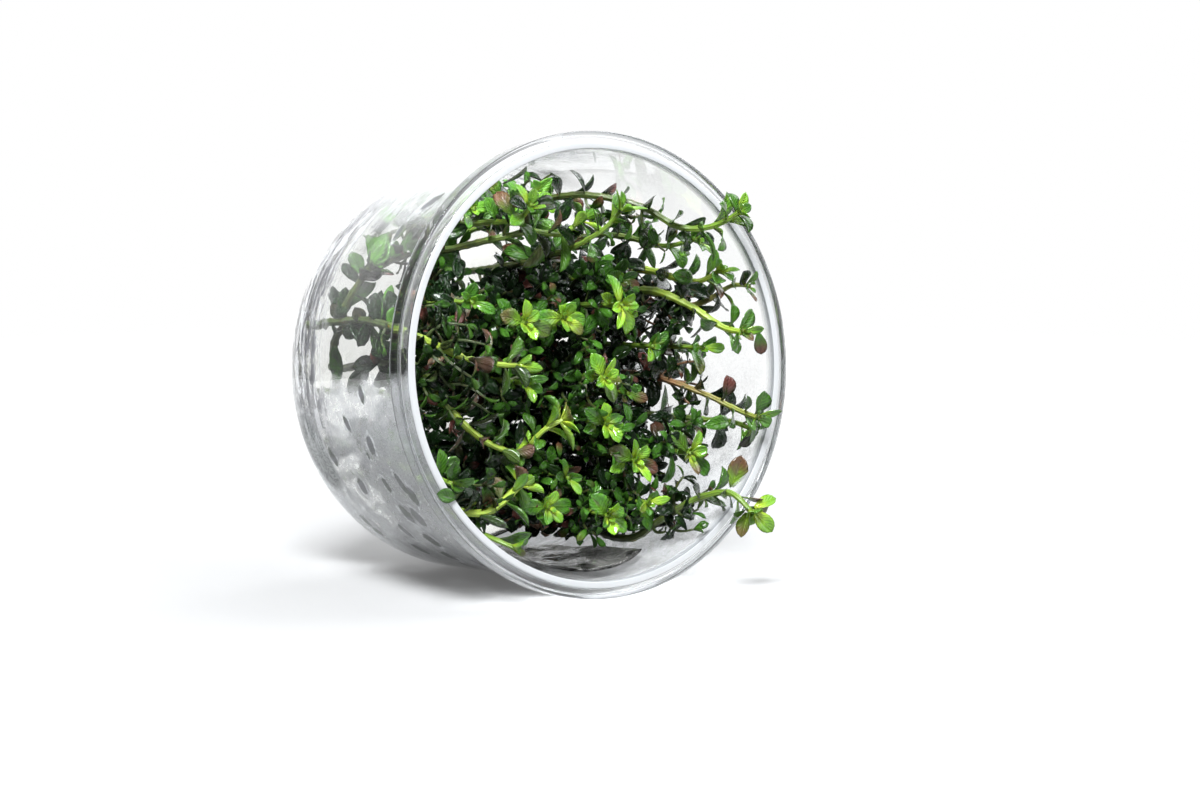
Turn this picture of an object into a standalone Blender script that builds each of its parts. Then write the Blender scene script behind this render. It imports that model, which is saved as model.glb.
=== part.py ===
"""Tissue-cultured aquarium stem plant in its clear plastic cup, which lies on its side with the lid off.

Sizes are millimetres in the cup's own frame, in which the cup stands on its base: X across, Y up once the cup
lies down, Z from the base out through the mouth. An empty lays that frame on its side, the mouth towards -Y.
"""

import math
from typing import NamedTuple

import bmesh
import bpy
import numpy as np
from mathutils import Vector

MM = 0.001
GAP = 0.3
MERGE = 0.01

# Cup
RIM_RADIUS = 50.0
CUP_HEIGHT = 66.6
WALL = 1.0
MOUTH_RADIUS = 46.2
BODY_RADIUS = 45.2
CORNER_RADIUS = 15.5
LIP_WIDTH = 1.4
LIP_DRAFT = 0.2
RIM_CHAMFER = 0.3
STEP_DEPTH = 0.5
SKIRT_DEPTH = 3.7
SKIRT_THICKNESS = 1.0
FLANGE_THICKNESS = 1.2
CUP_SIDES = 40
CORNER_SIDES = 4

# Gel
GEL_TOP = 5.0
SLAB_THICKNESS = 2.2
SLAB_ANGLES = (-118.0, -70.0)
SLAB_HEIGHTS = (12.0, 61.0)
SLAB_CELLS = (6, 4)
SLAB_LIFT = 0.7
SLAB_CORNER_DROP = 5.0
SLAB_BACK_SHARE = 0.7
SLAB_SIDE_ROOM = 4.0
SLAB_END_ROOM = 1.5

# Stems
ROOT_HEIGHT = 10.0
STEM_SAMPLES = 24
FINE_SAMPLES = 200
STEM_ROOM = 3.4
STEM_WALL_ROOM = 2.0
STEM_ROUNDS = 80
PUSH_SHARE = 0.25
PAST_RIM = 2.0
TIP_TAPER = 0.6
BEND_TOLERANCE = 0.6

# Leaves: shares are of the leaf's own length or half-width, and a pitch is its lift off square to the stem.
NODE_STEP = 3.4
BARE_STEM = 11.0
TIP_BUD = 0.8
FEWEST_NODES = 3
NODES_PER_PAIR = 3
PAIR_HEIGHT = 1.3
SEAT_SHARE = 0.7
LEAF_LENGTH = 6.6
LEAF_WIDTH = 3.3
LEAF_THICKNESS = 0.45
LEAF_WIDEST = 0.6
LEAF_END_SHARE = 0.42
LEAF_CURL = 0.18
CURL_CHANGE = 0.16
SIZE_CHANGE = 0.2
TIP_LEAF_SHARE = 0.72
LEAF_GROWTH = 0.14
LEAF_PITCH = 24.0
TIP_PITCH = 46.0
PITCH_CHANGE = 16.0
LOWEST_PITCH = math.radians(-25)
HIGHEST_PITCH = math.radians(75)
CHECKED_ALONG = (0.35, 0.57, 0.79, 1.0)
CHECKED_BESIDE = (-0.85, 0.0, 0.85)
NEARBY = 12.0
LEAF_ROOM = 1.3
LEAF_STEM_ROOM = 1.7
LEAF_WALL_ROOM = 0.7
LEAF_TRIES = ((1.0, 0, 0), (1.0, 18, 14), (1.0, -18, -14), (0.85, 30, -25), (0.7, 38, 20), (0.6, -30, 30))
SEED = 7

# Route of each leading shoot, from the gel to its tip, and its stem's radius.
LEADERS = (
    (((9, 36, 10), (8, 37, 34), (12, 37, 48), (20, 33.5, 57), (26, 28.5, 63), (31, 29, 70),
      (33, 31.5, 75)), 0.95),
    (((20, 24, 10), (22, 28, 25), (23.5, 27.5, 45), (27, 25, 54), (30.5, 26, 62)), 0.8),
    (((22, 18, 10), (24.5, 19, 22), (30, 20, 42), (35, 17, 57), (36.5, 19, 61.5)), 0.9),
    (((30, 12, 10), (33, 12, 42), (36, 12, 55), (40, 15.5, 62), (41, 15, 66)), 0.8),
    (((26, 8, 10), (27, 13, 30), (28.5, 15, 48), (32.5, 11, 56), (36, 6, 63), (37, 5, 68)), 1.1),
    (((28, -3, 10), (30, -3, 25), (30.5, -5.5, 50), (34.5, -9, 58), (37.5, -12.5, 65), (38.5, -14, 70)), 0.9),
    (((25, -9, 10), (27, -9, 22), (29.5, -12.5, 43), (35, -14, 53), (39.5, -15.5, 62), (41, -17.5, 66)), 0.8),
    (((14, -32, 10), (18, -37, 30), (18.5, -39.5, 47), (21, -35, 56), (26, -30.5, 64), (29, -30, 72),
      (30.5, -34, 76)), 1.0),
    (((-36, 12, 10), (-40, 12, 40), (-39, 8.5, 56), (-31, 4, 59), (-21, 1.5, 58.5), (-15, 1, 57)), 0.95),
    (((-30, 2, 10), (-35, 3, 35), (-35, 0, 52), (-32, -8, 57), (-24, -15, 57.5), (-16.5, -18, 57)), 0.95),
    (((-12, -16, 10), (-14, -19, 40), (-13, -17, 55), (-10.5, -13, 59), (-6.5, -11, 61)), 0.9),
    (((-28, -22, 10), (-36, -25, 40), (-36, -27, 55), (-32.5, -29, 61), (-27.5, -29, 62), (-23, -27, 61),
      (-17, -24, 59)), 1.1),
    (((-22, -30, 10), (-27, -34, 40), (-29, -33.5, 55), (-27, -35, 62), (-24, -37, 66)), 0.8),
    (((-34, -14, 10), (-39, -17, 40), (-39.5, -21, 58), (-39, -23, 65)), 0.8),
    (((-20, 26, 10), (-17, 27, 38), (-13.5, 28.5, 50), (-7, 29.5, 52), (1, 28.7, 52.5), (7.5, 32, 52)), 0.85),
    (((-14, 33, 10), (-13, 32, 45), (-12, 32.5, 57), (-12.5, 35, 62)), 0.85),
    (((2, 22, 10), (3, 24, 42), (4.5, 27, 57), (7, 29.3, 60.5), (9.5, 33.5, 64.5)), 0.85),
    (((-33, -3, 10), (-36, 8, 17), (-36.5, 16, 23), (-33, 24, 29)), 0.8),
)
# Tips of the upright shoots between them.
UPRIGHT_TIPS = (
    (-11, 10, 55), (-1.5, 10.5, 56), (11, 12.5, 60), (5.5, -3, 60), (-12, -3, 55), (13.5, -21.5, 58),
    (27, -21, 60), (15, -31, 60), (-8.5, -30, 56), (5.5, -33, 58), (-3, -24, 56), (6.5, -13, 58),
    (-18, 35, 48), (-2, 37, 49), (24, 3, 52), (18, -7, 50), (34, 2, 57), (18, 18, 50), (-21, 15, 50),
)
UPRIGHT_ROOT_SHARE = 0.82
UPRIGHT_MIDDLE_SHARE = 0.95
UPRIGHT_MIDDLE_HEIGHT = 0.55
UPRIGHT_ARCH = 1.0
UPRIGHT_RADIUS = 0.8
# Low shoots of the thicket, set out in a spiral.
THICKET_SHOOTS = 8
THICKET_REACH = 33.0
THICKET_SPREAD = 1.1
THICKET_TIPS = (28.0, 42.0)
THICKET_RADIUS = 0.75
GOLDEN_ANGLE = 137.5

CUP_COLOUR = (0.86, 0.89, 0.90)
CUP_FINISH = {"roughness": 0.08, "transmission": 0.9, "alpha": 0.35}
GEL_COLOUR = (0.78, 0.76, 0.68)
GEL_FINISH = {"roughness": 0.25, "transmission": 0.4, "alpha": 1.0}
SHOOT_COLOURS = {"bright": (0.30, 0.52, 0.06), "green": (0.10, 0.28, 0.04), "dark": (0.03, 0.10, 0.03)}
SHOOT_FINISH = {"roughness": 0.35, "transmission": 0.0, "alpha": 1.0}


class Leaf(NamedTuple):
    """A leaf on its stem: where it sits, which way it points, and the stem's own directions there."""

    base: np.ndarray
    direction: np.ndarray
    width_axis: np.ndarray
    upper: np.ndarray
    length: float
    half_width: float
    curl: float
    tangent: np.ndarray
    beside: np.ndarray


def cup_inner_radius(height):
    """Radius of the inner wall above the rounded corner, for a height or an array of heights."""
    low = BODY_RADIUS - WALL
    share = (height - CORNER_RADIUS) / (CUP_HEIGHT - CORNER_RADIUS)
    return low + (MOUTH_RADIUS - low) * np.clip(share, 0.0, 1.0)


def corner_arc(radius):
    """Profile points of the rounded base corner, from the base up to the wall."""
    centre = BODY_RADIUS - CORNER_RADIUS
    turn = np.linspace(-0.5 * math.pi, 0.0, CORNER_SIDES + 1)
    return [(centre + radius * math.cos(a), CORNER_RADIUS + radius * math.sin(a)) for a in turn]


def cup_profile():
    """Half section of the cup: inside from the centre to the mouth, over the rim, and down the outside."""
    lip_edge = MOUTH_RADIUS + LIP_WIDTH
    face = CUP_HEIGHT - STEP_DEPTH
    skirt_end = face - SKIRT_DEPTH
    under = face - FLANGE_THICKNESS
    inside = [(0.0, WALL)] + corner_arc(CORNER_RADIUS - WALL)
    rim = [
        (MOUTH_RADIUS, CUP_HEIGHT),
        (lip_edge, CUP_HEIGHT),
        (lip_edge + LIP_DRAFT, face),
        (RIM_RADIUS - RIM_CHAMFER, face),
        (RIM_RADIUS, face - RIM_CHAMFER),
        (RIM_RADIUS, skirt_end),
        (RIM_RADIUS - SKIRT_THICKNESS, skirt_end),
        (RIM_RADIUS - SKIRT_THICKNESS, under),
        (MOUTH_RADIUS + WALL, under),
    ]
    outside = corner_arc(CORNER_RADIUS)[::-1] + [(0.0, 0.0)]
    return inside + rim + outside


def resting_pose():
    """Lean of the cup's axis and height of its base centre, lying on the skirt's edge and the base corner."""
    skirt_end = CUP_HEIGHT - STEP_DEPTH - SKIRT_DEPTH
    slopes = [(RIM_RADIUS - r) / (skirt_end - z) for r, z in corner_arc(CORNER_RADIUS)]
    lean = math.atan(min(slopes))
    return lean, RIM_RADIUS * math.cos(lean) - skirt_end * math.sin(lean)


def spline(points, count):
    """Points on a smooth cubic through the given ones, evenly spaced by the length between them."""
    points = np.asarray(points, float)
    knots = np.concatenate([[0.0], np.cumsum(np.linalg.norm(np.diff(points, axis=0), axis=1))])
    slopes = np.gradient(points, knots, axis=0)
    at = np.linspace(0.0, knots[-1], count)
    i = np.clip(np.searchsorted(knots, at, side="right") - 1, 0, len(knots) - 2)
    span = (knots[i + 1] - knots[i])[:, None]
    x = (at - knots[i])[:, None] / span
    start = (1 + 2 * x) * (1 - x) ** 2 * points[i] + x * (1 - x) ** 2 * span * slopes[i]
    end = x**2 * (3 - 2 * x) * points[i + 1] + x**2 * (x - 1) * span * slopes[i + 1]
    return start + end


def stem_routes():
    """Route and radius of every shoot: the leaders, the upright ones, then the low thicket."""
    shoots = list(LEADERS)
    for across, up, out in UPRIGHT_TIPS:
        root = (across * UPRIGHT_ROOT_SHARE, up * UPRIGHT_ROOT_SHARE, ROOT_HEIGHT)
        middle = (across * UPRIGHT_MIDDLE_SHARE, up * UPRIGHT_MIDDLE_SHARE + UPRIGHT_ARCH,
                  out * UPRIGHT_MIDDLE_HEIGHT)
        shoots.append(((root, middle, (across, up, out)), UPRIGHT_RADIUS))
    for i in range(THICKET_SHOOTS):
        turn = math.radians(GOLDEN_ANGLE * i)
        reach = THICKET_REACH * math.sqrt((i + 0.5) / THICKET_SHOOTS)
        across = reach * math.cos(turn)
        up = reach * math.sin(turn)
        tip = THICKET_TIPS[0] + (THICKET_TIPS[1] - THICKET_TIPS[0]) * (1.0 - GOLDEN_ANGLE * i / 360.0 % 1.0)
        top = (across * THICKET_SPREAD, up * THICKET_SPREAD, tip)
        shoots.append((((across, up, ROOT_HEIGHT), top), THICKET_RADIUS))
    return shoots


def over_slab(points):
    """Which points lie over the slab of gel or just beside it."""
    turn = np.degrees(np.arctan2(points[:, 1], points[:, 0]))
    beside = (turn > SLAB_ANGLES[0] - SLAB_SIDE_ROOM) & (turn < SLAB_ANGLES[1] + SLAB_SIDE_ROOM)
    return beside & (points[:, 2] < SLAB_HEIGHTS[1] + SLAB_END_ROOM)


def part_stems(stems):
    """Stems pushed apart a little at a time until their midlines keep their room, inside the cup's wall.

    Each round adds up the pushes from all points that are too near, smooths them along the stem and keeps the
    first point on the gel.
    """
    for _ in range(STEM_ROUNDS):
        for i, stem in enumerate(stems):
            others = np.concatenate(stems[:i] + stems[i + 1:])
            away = stem[:, None] - others[None]
            distance = np.linalg.norm(away, axis=2)
            push = np.clip(STEM_ROOM - distance, 0.0, None) / np.maximum(distance, MERGE)
            shift = PUSH_SHARE * (away * push[..., None]).sum(axis=1)
            shift[0, 2] = 0.0
            shift[1:-1] = 0.25 * shift[:-2] + 0.5 * shift[1:-1] + 0.25 * shift[2:]
            stem += shift
            radius = np.hypot(stem[:, 0], stem[:, 1])
            limit = cup_inner_radius(stem[:, 2]) - STEM_WALL_ROOM
            limit[over_slab(stem)] -= SLAB_LIFT + SLAB_THICKNESS
            limit[stem[:, 2] > CUP_HEIGHT + PAST_RIM] = RIM_RADIUS
            stem[:, :2] *= np.minimum(1.0, limit / np.maximum(radius, MERGE))[:, None]
    return stems


def stem_frames(points):
    """Unit tangent, side and third axis at each point of a route, the side carried along without twisting."""
    tangents = np.gradient(points, axis=0)
    tangents /= np.linalg.norm(tangents, axis=1)[:, None]
    side = np.array([1.0, 0.0, 0.0])
    sides = []
    for tangent in tangents:
        side = side - tangent * (side @ tangent)
        side = side / np.linalg.norm(side)
        sides.append(side)
    sides = np.array(sides)
    return tangents, sides, np.cross(tangents, sides)


def leaf_points(leaf, along, beside):
    """Points of a leaf's surface: along its recurved midrib, and beside it by a share of the half-width."""
    along = np.asarray(along, float)[:, None]
    beside = np.asarray(beside, float)[:, None]
    rib = leaf.base + leaf.length * (along * leaf.direction - leaf.curl * along**2 * leaf.upper)
    return rib + beside * leaf.half_width * leaf.width_axis


def leaf_seat(frame, radius, turn, from_tip, change):
    """Where a leaf sits on its stem and how it would grow: a tip leaf is smaller and stands more upright."""
    point, tangent, side, third = frame
    outward = math.cos(turn) * side + math.sin(turn) * third
    pitch = (TIP_PITCH if from_tip < 2 else LEAF_PITCH) + PITCH_CHANGE * change[0]
    size = min(1.0, TIP_LEAF_SHARE + LEAF_GROWTH * from_tip)
    length = LEAF_LENGTH * size * (1.0 + SIZE_CHANGE * change[1])
    half_width = 0.5 * LEAF_WIDTH * size * (1.0 + SIZE_CHANGE * change[2])
    curl = LEAF_CURL + CURL_CHANGE * change[3]
    base = point + outward * radius * SEAT_SHARE
    return base, outward, np.cross(tangent, outward), tangent, math.radians(pitch), length, half_width, curl


def shoot_seats(stem, radius, number):
    """Place along the stem, turn and two seats of each node, lowest first, each a quarter turn apart."""
    length = np.linalg.norm(np.diff(stem, axis=0), axis=1).sum()
    count = max(FEWEST_NODES, int((length - BARE_STEM) / NODE_STEP))
    fine = spline(stem, FINE_SAMPLES)
    tangents, sides, thirds = stem_frames(fine)
    rng = np.random.default_rng(SEED + number)
    roll = rng.uniform(0.0, 0.5 * math.pi)
    change = rng.uniform(-1.0, 1.0, (count, 2, 4))
    nodes = []
    for node in range(count):
        from_tip = count - 1 - node
        at = (length - TIP_BUD - NODE_STEP * from_tip) / length
        i = int(round(at * (FINE_SAMPLES - 1)))
        frame = (fine[i], tangents[i], sides[i], thirds[i])
        turn = roll + 0.5 * math.pi * node
        one = leaf_seat(frame, radius, turn, from_tip, change[node, 0])
        other = leaf_seat(frame, radius, turn + math.pi, from_tip, change[node, 1])
        nodes.append((at, turn, (one, other)))
    return nodes


def pose_leaf(seat, scale, lift, swing):
    """A leaf on its seat, shortened by scale, lifted towards the tip and swung sideways, in degrees."""
    base, outward, beside, tangent, pitch, length, half_width, curl = seat
    pitch = min(max(pitch + math.radians(lift), LOWEST_PITCH), HIGHEST_PITCH)
    swing = math.radians(swing)
    flat = math.cos(swing) * outward + math.sin(swing) * beside
    direction = math.cos(pitch) * flat + math.sin(pitch) * tangent
    width_axis = math.cos(swing) * beside - math.sin(swing) * outward
    upper = math.cos(pitch) * tangent - math.sin(pitch) * flat
    return Leaf(base, direction, width_axis, upper, length * scale, half_width * scale, curl, tangent, beside)


def has_room(samples, taken, room):
    """Whether all samples keep their distance from the points already taken."""
    if not len(taken):
        return True
    near = np.abs(taken - samples.mean(axis=0)).max(axis=1) < NEARBY
    if not near.any():
        return True
    gap = np.linalg.norm(samples[:, None] - taken[near][None], axis=2)
    return gap.min() > room


def inside_cup(samples):
    """Whether all samples clear the cup's wall and rim and the gel."""
    height = samples[:, 2]
    radius = np.hypot(samples[:, 0], samples[:, 1])
    limit = cup_inner_radius(height) - LEAF_WALL_ROOM
    limit[over_slab(samples)] -= GAP + SLAB_LIFT + SLAB_THICKNESS
    free = (radius < limit) | (height > CUP_HEIGHT + LEAF_WALL_ROOM)
    return bool(free.all() and (height > GEL_TOP + LEAF_WALL_ROOM).all())


def place_leaf(seat, stems, leaves):
    """The leaf of a seat in the first pose clear of cup, stems and other leaves, with its checked points."""
    along = np.repeat(CHECKED_ALONG, len(CHECKED_BESIDE))
    beside = np.tile(CHECKED_BESIDE, len(CHECKED_ALONG))
    for tried in LEAF_TRIES:
        leaf = pose_leaf(seat, *tried)
        samples = leaf_points(leaf, along, beside)
        clear = has_room(samples, stems, LEAF_STEM_ROOM) and has_room(samples, leaves, LEAF_ROOM)
        if clear and inside_cup(samples):
            return leaf, samples
    return None, np.zeros((0, 3))


def grow_shoots():
    """Stem, radius and leaf pairs of every shoot: the two pairs of the tip and every third pair below them."""
    shoots = stem_routes()
    stems = part_stems([spline(route, STEM_SAMPLES) for route, _ in shoots])
    fine = [spline(stem, FINE_SAMPLES) for stem in stems]
    taken = np.zeros((0, 3))
    grown = []
    for number, (stem, (_, radius)) in enumerate(zip(stems, shoots)):
        others = np.concatenate(fine[:number] + fine[number + 1:])
        nodes = shoot_seats(stem, radius, number)
        kept = []
        for node, (at, turn, seats) in enumerate(nodes):
            from_tip = len(nodes) - 1 - node
            if from_tip > 1 and from_tip % NODES_PER_PAIR != 1:
                continue
            leaves = []
            for seat in seats:
                leaf, samples = place_leaf(seat, others, taken)
                leaves.append(leaf)
                taken = np.concatenate([taken, samples])
            kept.append((at, turn, leaves))
        grown.append((stem, radius, kept))
    return grown


def collection(name):
    made = bpy.data.collections.new(name)
    bpy.context.scene.collection.children.link(made)
    return made


def paint(obj, colour, roughness, transmission, alpha):
    """The object's own Principled material."""
    material = bpy.data.materials.new(obj.name)
    material.use_nodes = True
    shader = material.node_tree.nodes["Principled BSDF"]
    shader.inputs["Base Color"].default_value = (*colour, 1.0)
    shader.inputs["Roughness"].default_value = roughness
    shader.inputs["Metallic"].default_value = 0.0
    shader.inputs["Transmission Weight"].default_value = transmission
    shader.inputs["Alpha"].default_value = alpha
    material.diffuse_color = (*colour, alpha)
    obj.data.materials.append(material)


def add_object(name, mesh, parts, axis):
    """A mesh as a named object of the part, standing in the cup's frame."""
    obj = bpy.data.objects.new(name, mesh)
    parts.objects.link(obj)
    obj.parent = axis
    return obj


def turned(name, profile, parts, axis):
    """A solid of revolution about the cup's axis. Its flat sides touch the true radius, and one is lowest."""
    mesh = bpy.data.meshes.new(name)
    stretch = MM / math.cos(math.pi / CUP_SIDES)
    points = [(r * stretch, 0.0, z * MM) for r, z in profile]
    mesh.from_pydata(points, [(i, i + 1) for i in range(len(points) - 1)], [])
    obj = add_object(name, mesh, parts, axis)
    obj.rotation_euler.z = math.pi / CUP_SIDES
    screw = obj.modifiers.new("Turn", "SCREW")
    screw.steps = CUP_SIDES
    screw.render_steps = CUP_SIDES
    screw.use_merge_vertices = True
    screw.merge_threshold = MERGE * MM
    return obj


def make_cup(parts, axis):
    cup = turned("cup", cup_profile(), parts, axis)
    paint(cup, CUP_COLOUR, **CUP_FINISH)


def make_gel(parts, axis):
    """The block of nutrient gel that fills the base."""
    arc = [point for point in corner_arc(CORNER_RADIUS - WALL - GAP) if point[1] < GEL_TOP]
    reach = math.sqrt((CORNER_RADIUS - WALL - GAP) ** 2 - (CORNER_RADIUS - GEL_TOP) ** 2)
    edge = BODY_RADIUS - CORNER_RADIUS + reach
    top = [(0.0, GEL_TOP), (edge, GEL_TOP)]
    gel = turned("gel", top + arc[::-1] + [(0.0, WALL + GAP)], parts, axis)
    paint(gel, GEL_COLOUR, **GEL_FINISH)


def make_gel_slab(parts, axis):
    """The slab of gel that has slid along the low wall: a bent grid, given its thickness inwards."""
    bm = bmesh.new()
    bmesh.ops.create_grid(bm, x_segments=SLAB_CELLS[0], y_segments=SLAB_CELLS[1], size=1.0)
    middle = 0.5 * (SLAB_ANGLES[0] + SLAB_ANGLES[1])
    half_turn = 0.5 * (SLAB_ANGLES[1] - SLAB_ANGLES[0])
    for vert in bm.verts:
        side, run = vert.co.x, 0.5 * (vert.co.y + 1.0)
        turn = math.radians(middle + half_turn * side * (SLAB_BACK_SHARE + (1.0 - SLAB_BACK_SHARE) * run))
        front = SLAB_HEIGHTS[1] - SLAB_CORNER_DROP * side**2
        height = SLAB_HEIGHTS[0] + (front - SLAB_HEIGHTS[0]) * run
        radius = float(cup_inner_radius(height)) - GAP - SLAB_LIFT
        vert.co = Vector((radius * math.cos(turn), radius * math.sin(turn), height)) * MM
    mesh = bpy.data.meshes.new("gel_slab")
    bm.to_mesh(mesh)
    bm.free()
    slab = add_object("gel_slab", mesh, parts, axis)
    solidify = slab.modifiers.new("Thickness", "SOLIDIFY")
    solidify.thickness = SLAB_THICKNESS * MM
    solidify.offset = -1.0
    paint(slab, GEL_COLOUR, **GEL_FINISH)


def ring(centre, side, third, radius, turn):
    """The four corners of a stem's section, with flat sides facing the leaves."""
    corners = []
    for quarter in range(4):
        angle = turn + 0.5 * math.pi * (quarter + 0.5)
        corners.append(centre + radius * (math.cos(angle) * side + math.sin(angle) * third))
    return corners


def extrude_to(bm, face, corners):
    """A face extruded so that its corners land on the given points."""
    grown = bmesh.ops.extrude_discrete_faces(bm, faces=[face])["faces"][0]
    for loop, corner in zip(grown.loops, corners):
        loop.vert.co = Vector(corner) * MM
    return grown


def add_leaf(bm, face, leaf):
    """A leaf grown out of one flat side of the stem: a blade that widens, then narrows to a blunt tip."""
    seat = np.array([loop.vert.co for loop in face.loops]) / MM
    centre = seat.mean(axis=0)
    beside = np.sign((seat - centre) @ leaf.beside)
    above = np.sign((seat - centre) @ leaf.tangent)
    wide = leaf_points(leaf, np.full(4, LEAF_WIDEST), beside)
    wide = wide + above[:, None] * 0.5 * LEAF_THICKNESS * leaf.upper
    blunt = leaf_points(leaf, np.ones(4), LEAF_END_SHARE * beside)
    blade = extrude_to(bm, face, wide)
    tip = extrude_to(bm, blade, blunt)
    bmesh.ops.remove_doubles(bm, verts=tip.verts[:], dist=MERGE * MM)


def stem_cuts(fine, nodes, half_pair):
    """Sections of the stem as shares of its length, each with whether it ends a seat for two leaves."""
    cuts = []
    last = 0.0
    for at in nodes:
        shares = np.array([last, 0.5 * (last + at), at])
        start, middle, end = fine[np.round(shares * (FINE_SAMPLES - 1)).astype(int)]
        if np.linalg.norm(middle - 0.5 * (start + end)) > BEND_TOLERANCE:
            cuts.append((0.5 * (last + at), False))
        cuts += [(at - half_pair, False), (min(at + half_pair, 1.0), True)]
        last = at
    return cuts


def extrude_stem(bm, stem, radius, pairs):
    """A square stem extruded section by section from the gel to its tip. Returns each seat's side faces."""
    fine = spline(stem, FINE_SAMPLES)
    tangents, sides, thirds = stem_frames(fine)
    half_pair = 0.5 * PAIR_HEIGHT / np.linalg.norm(np.diff(fine, axis=0), axis=1).sum()
    turn = pairs[0][1]
    bmesh.ops.create_circle(bm, cap_ends=True, segments=4, radius=1.0)
    end = bm.faces[:][0]
    foot = ring(fine[0], np.array([1.0, 0.0, 0.0]), np.array([0.0, 1.0, 0.0]), radius, turn)
    for loop, corner in zip(end.loops, foot):
        loop.vert.co = Vector((corner[0], corner[1], GEL_TOP + GAP)) * MM
    seat_faces = []
    for at, is_seat in stem_cuts(fine, [at for at, _, _ in pairs], half_pair):
        i = int(round(at * (FINE_SAMPLES - 1)))
        thin = radius * (1.0 - (1.0 - TIP_TAPER) * at**3)
        end = extrude_to(bm, end, ring(fine[i], sides[i], thirds[i], thin, turn))
        if is_seat:
            sides_of_seat = [next(f for f in loop.edge.link_faces if f != end) for loop in end.loops]
            seat_faces.append(sides_of_seat)
    open_edges = [edge for edge in bm.edges if edge.is_boundary]
    bmesh.ops.contextual_create(bm, geom=open_edges)
    return seat_faces


def make_shoot(name, stem, radius, pairs, colour, parts, axis):
    """One shoot: its stem, with a leaf grown out of the stem's side wherever a pair has one."""
    bm = bmesh.new()
    for faces, (_, _, leaves) in zip(extrude_stem(bm, stem, radius, pairs), pairs):
        for leaf in leaves:
            if leaf is None:
                continue
            outward = np.cross(leaf.beside, leaf.tangent)
            face = max(faces, key=lambda side: float(np.dot(side.normal, outward)))
            faces = [other for other in faces if other is not face]
            add_leaf(bm, face, leaf)
    bmesh.ops.recalc_face_normals(bm, faces=bm.faces[:])
    mesh = bpy.data.meshes.new(name)
    bm.to_mesh(mesh)
    bm.free()
    shoot = add_object(name, mesh, parts, axis)
    paint(shoot, colour, **SHOOT_FINISH)


def shoot_kind(number, count):
    """Bright for the upright shoots, dark for the low thicket, green for the leaders."""
    if number >= count - THICKET_SHOOTS:
        return "dark"
    return "green" if number < len(LEADERS) else "bright"


def centre_on_origin(parts, axis):
    """The whole part moved along Y so that the origin is under the middle of its bounding box."""
    bpy.context.view_layer.update()
    graph = bpy.context.evaluated_depsgraph_get()
    reach = []
    for obj in parts.objects:
        if obj.type == "MESH":
            mesh = obj.evaluated_get(graph).data
            reach += [(obj.matrix_world @ vert.co).y for vert in mesh.vertices]
    axis.location.y -= 0.5 * (min(reach) + max(reach))


def main():
    for obj in list(bpy.data.objects):
        bpy.data.objects.remove(obj, do_unlink=True)
    parts = collection("rotala_cup")
    axis = bpy.data.objects.new("cup_axis", None)
    parts.objects.link(axis)
    lean, height = resting_pose()
    axis.rotation_euler.x = 0.5 * math.pi - lean
    axis.location.z = height * MM
    make_cup(parts, axis)
    make_gel(parts, axis)
    make_gel_slab(parts, axis)
    shoots = grow_shoots()
    for number, (stem, radius, pairs) in enumerate(shoots):
        colour = SHOOT_COLOURS[shoot_kind(number, len(shoots))]
        make_shoot(f"shoot_{number + 1:02d}", stem, radius, pairs, colour, parts, axis)
    centre_on_origin(parts, axis)


main()
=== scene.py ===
"""A tissue-cultured aquarium stem plant in its clear cup, dressed for a studio picture."""

import math

import bpy
import numpy as np
from mathutils import Matrix, Vector


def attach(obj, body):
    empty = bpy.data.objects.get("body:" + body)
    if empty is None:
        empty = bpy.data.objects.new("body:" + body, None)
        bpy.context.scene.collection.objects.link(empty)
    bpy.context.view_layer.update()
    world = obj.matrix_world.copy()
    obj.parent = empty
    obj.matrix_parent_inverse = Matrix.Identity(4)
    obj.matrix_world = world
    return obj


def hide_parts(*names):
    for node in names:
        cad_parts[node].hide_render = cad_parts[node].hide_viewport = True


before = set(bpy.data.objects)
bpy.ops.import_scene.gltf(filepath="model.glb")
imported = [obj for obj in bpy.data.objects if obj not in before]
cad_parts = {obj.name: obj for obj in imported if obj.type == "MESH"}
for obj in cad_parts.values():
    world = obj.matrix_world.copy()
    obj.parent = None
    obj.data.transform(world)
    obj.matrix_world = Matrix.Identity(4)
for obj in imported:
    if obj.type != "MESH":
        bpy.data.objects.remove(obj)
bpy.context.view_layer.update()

# The cup is one thin moulding of clear plastic with a rounded base corner, a drafted wall, a lip, and a
# flange whose skirt took the lid. It lies on the skirt's edge and the corner. Sizes are millimetres in the
# cup's own frame: X across, Y up, Z from the base out through the mouth.
MM = 0.001
RIM_RADIUS = 50.0
CUP_HEIGHT = 66.6
WALL = 1.0
MOUTH_RADIUS = 46.2
BODY_RADIUS = 45.2
CORNER_RADIUS = 15.5
LIP_WIDTH = 1.4
LIP_DRAFT = 0.2
STEP_DEPTH = 0.5
SKIRT_DEPTH = 3.7
SKIRT_THICKNESS = 1.0
FLANGE_THICKNESS = 1.2
CAD_CORNER_SIDES = 4
EDGE_ROUNDING = 0.22
CORNER_STEPS = 36
WALL_STEPS = 56
ROUND_STEPS = 4
CUP_STEPS = 384
BASE_CENTRE_Y = 40.224


def cad_corner_arc():
    """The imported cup's corner: points at equal turns of a quarter circle about the corner's centre."""
    turn = np.linspace(-0.5 * math.pi, 0.0, CAD_CORNER_SIDES + 1)
    reach = BODY_RADIUS - CORNER_RADIUS + CORNER_RADIUS * np.cos(turn)
    return np.stack([reach, CORNER_RADIUS + CORNER_RADIUS * np.sin(turn)], axis=1)


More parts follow.
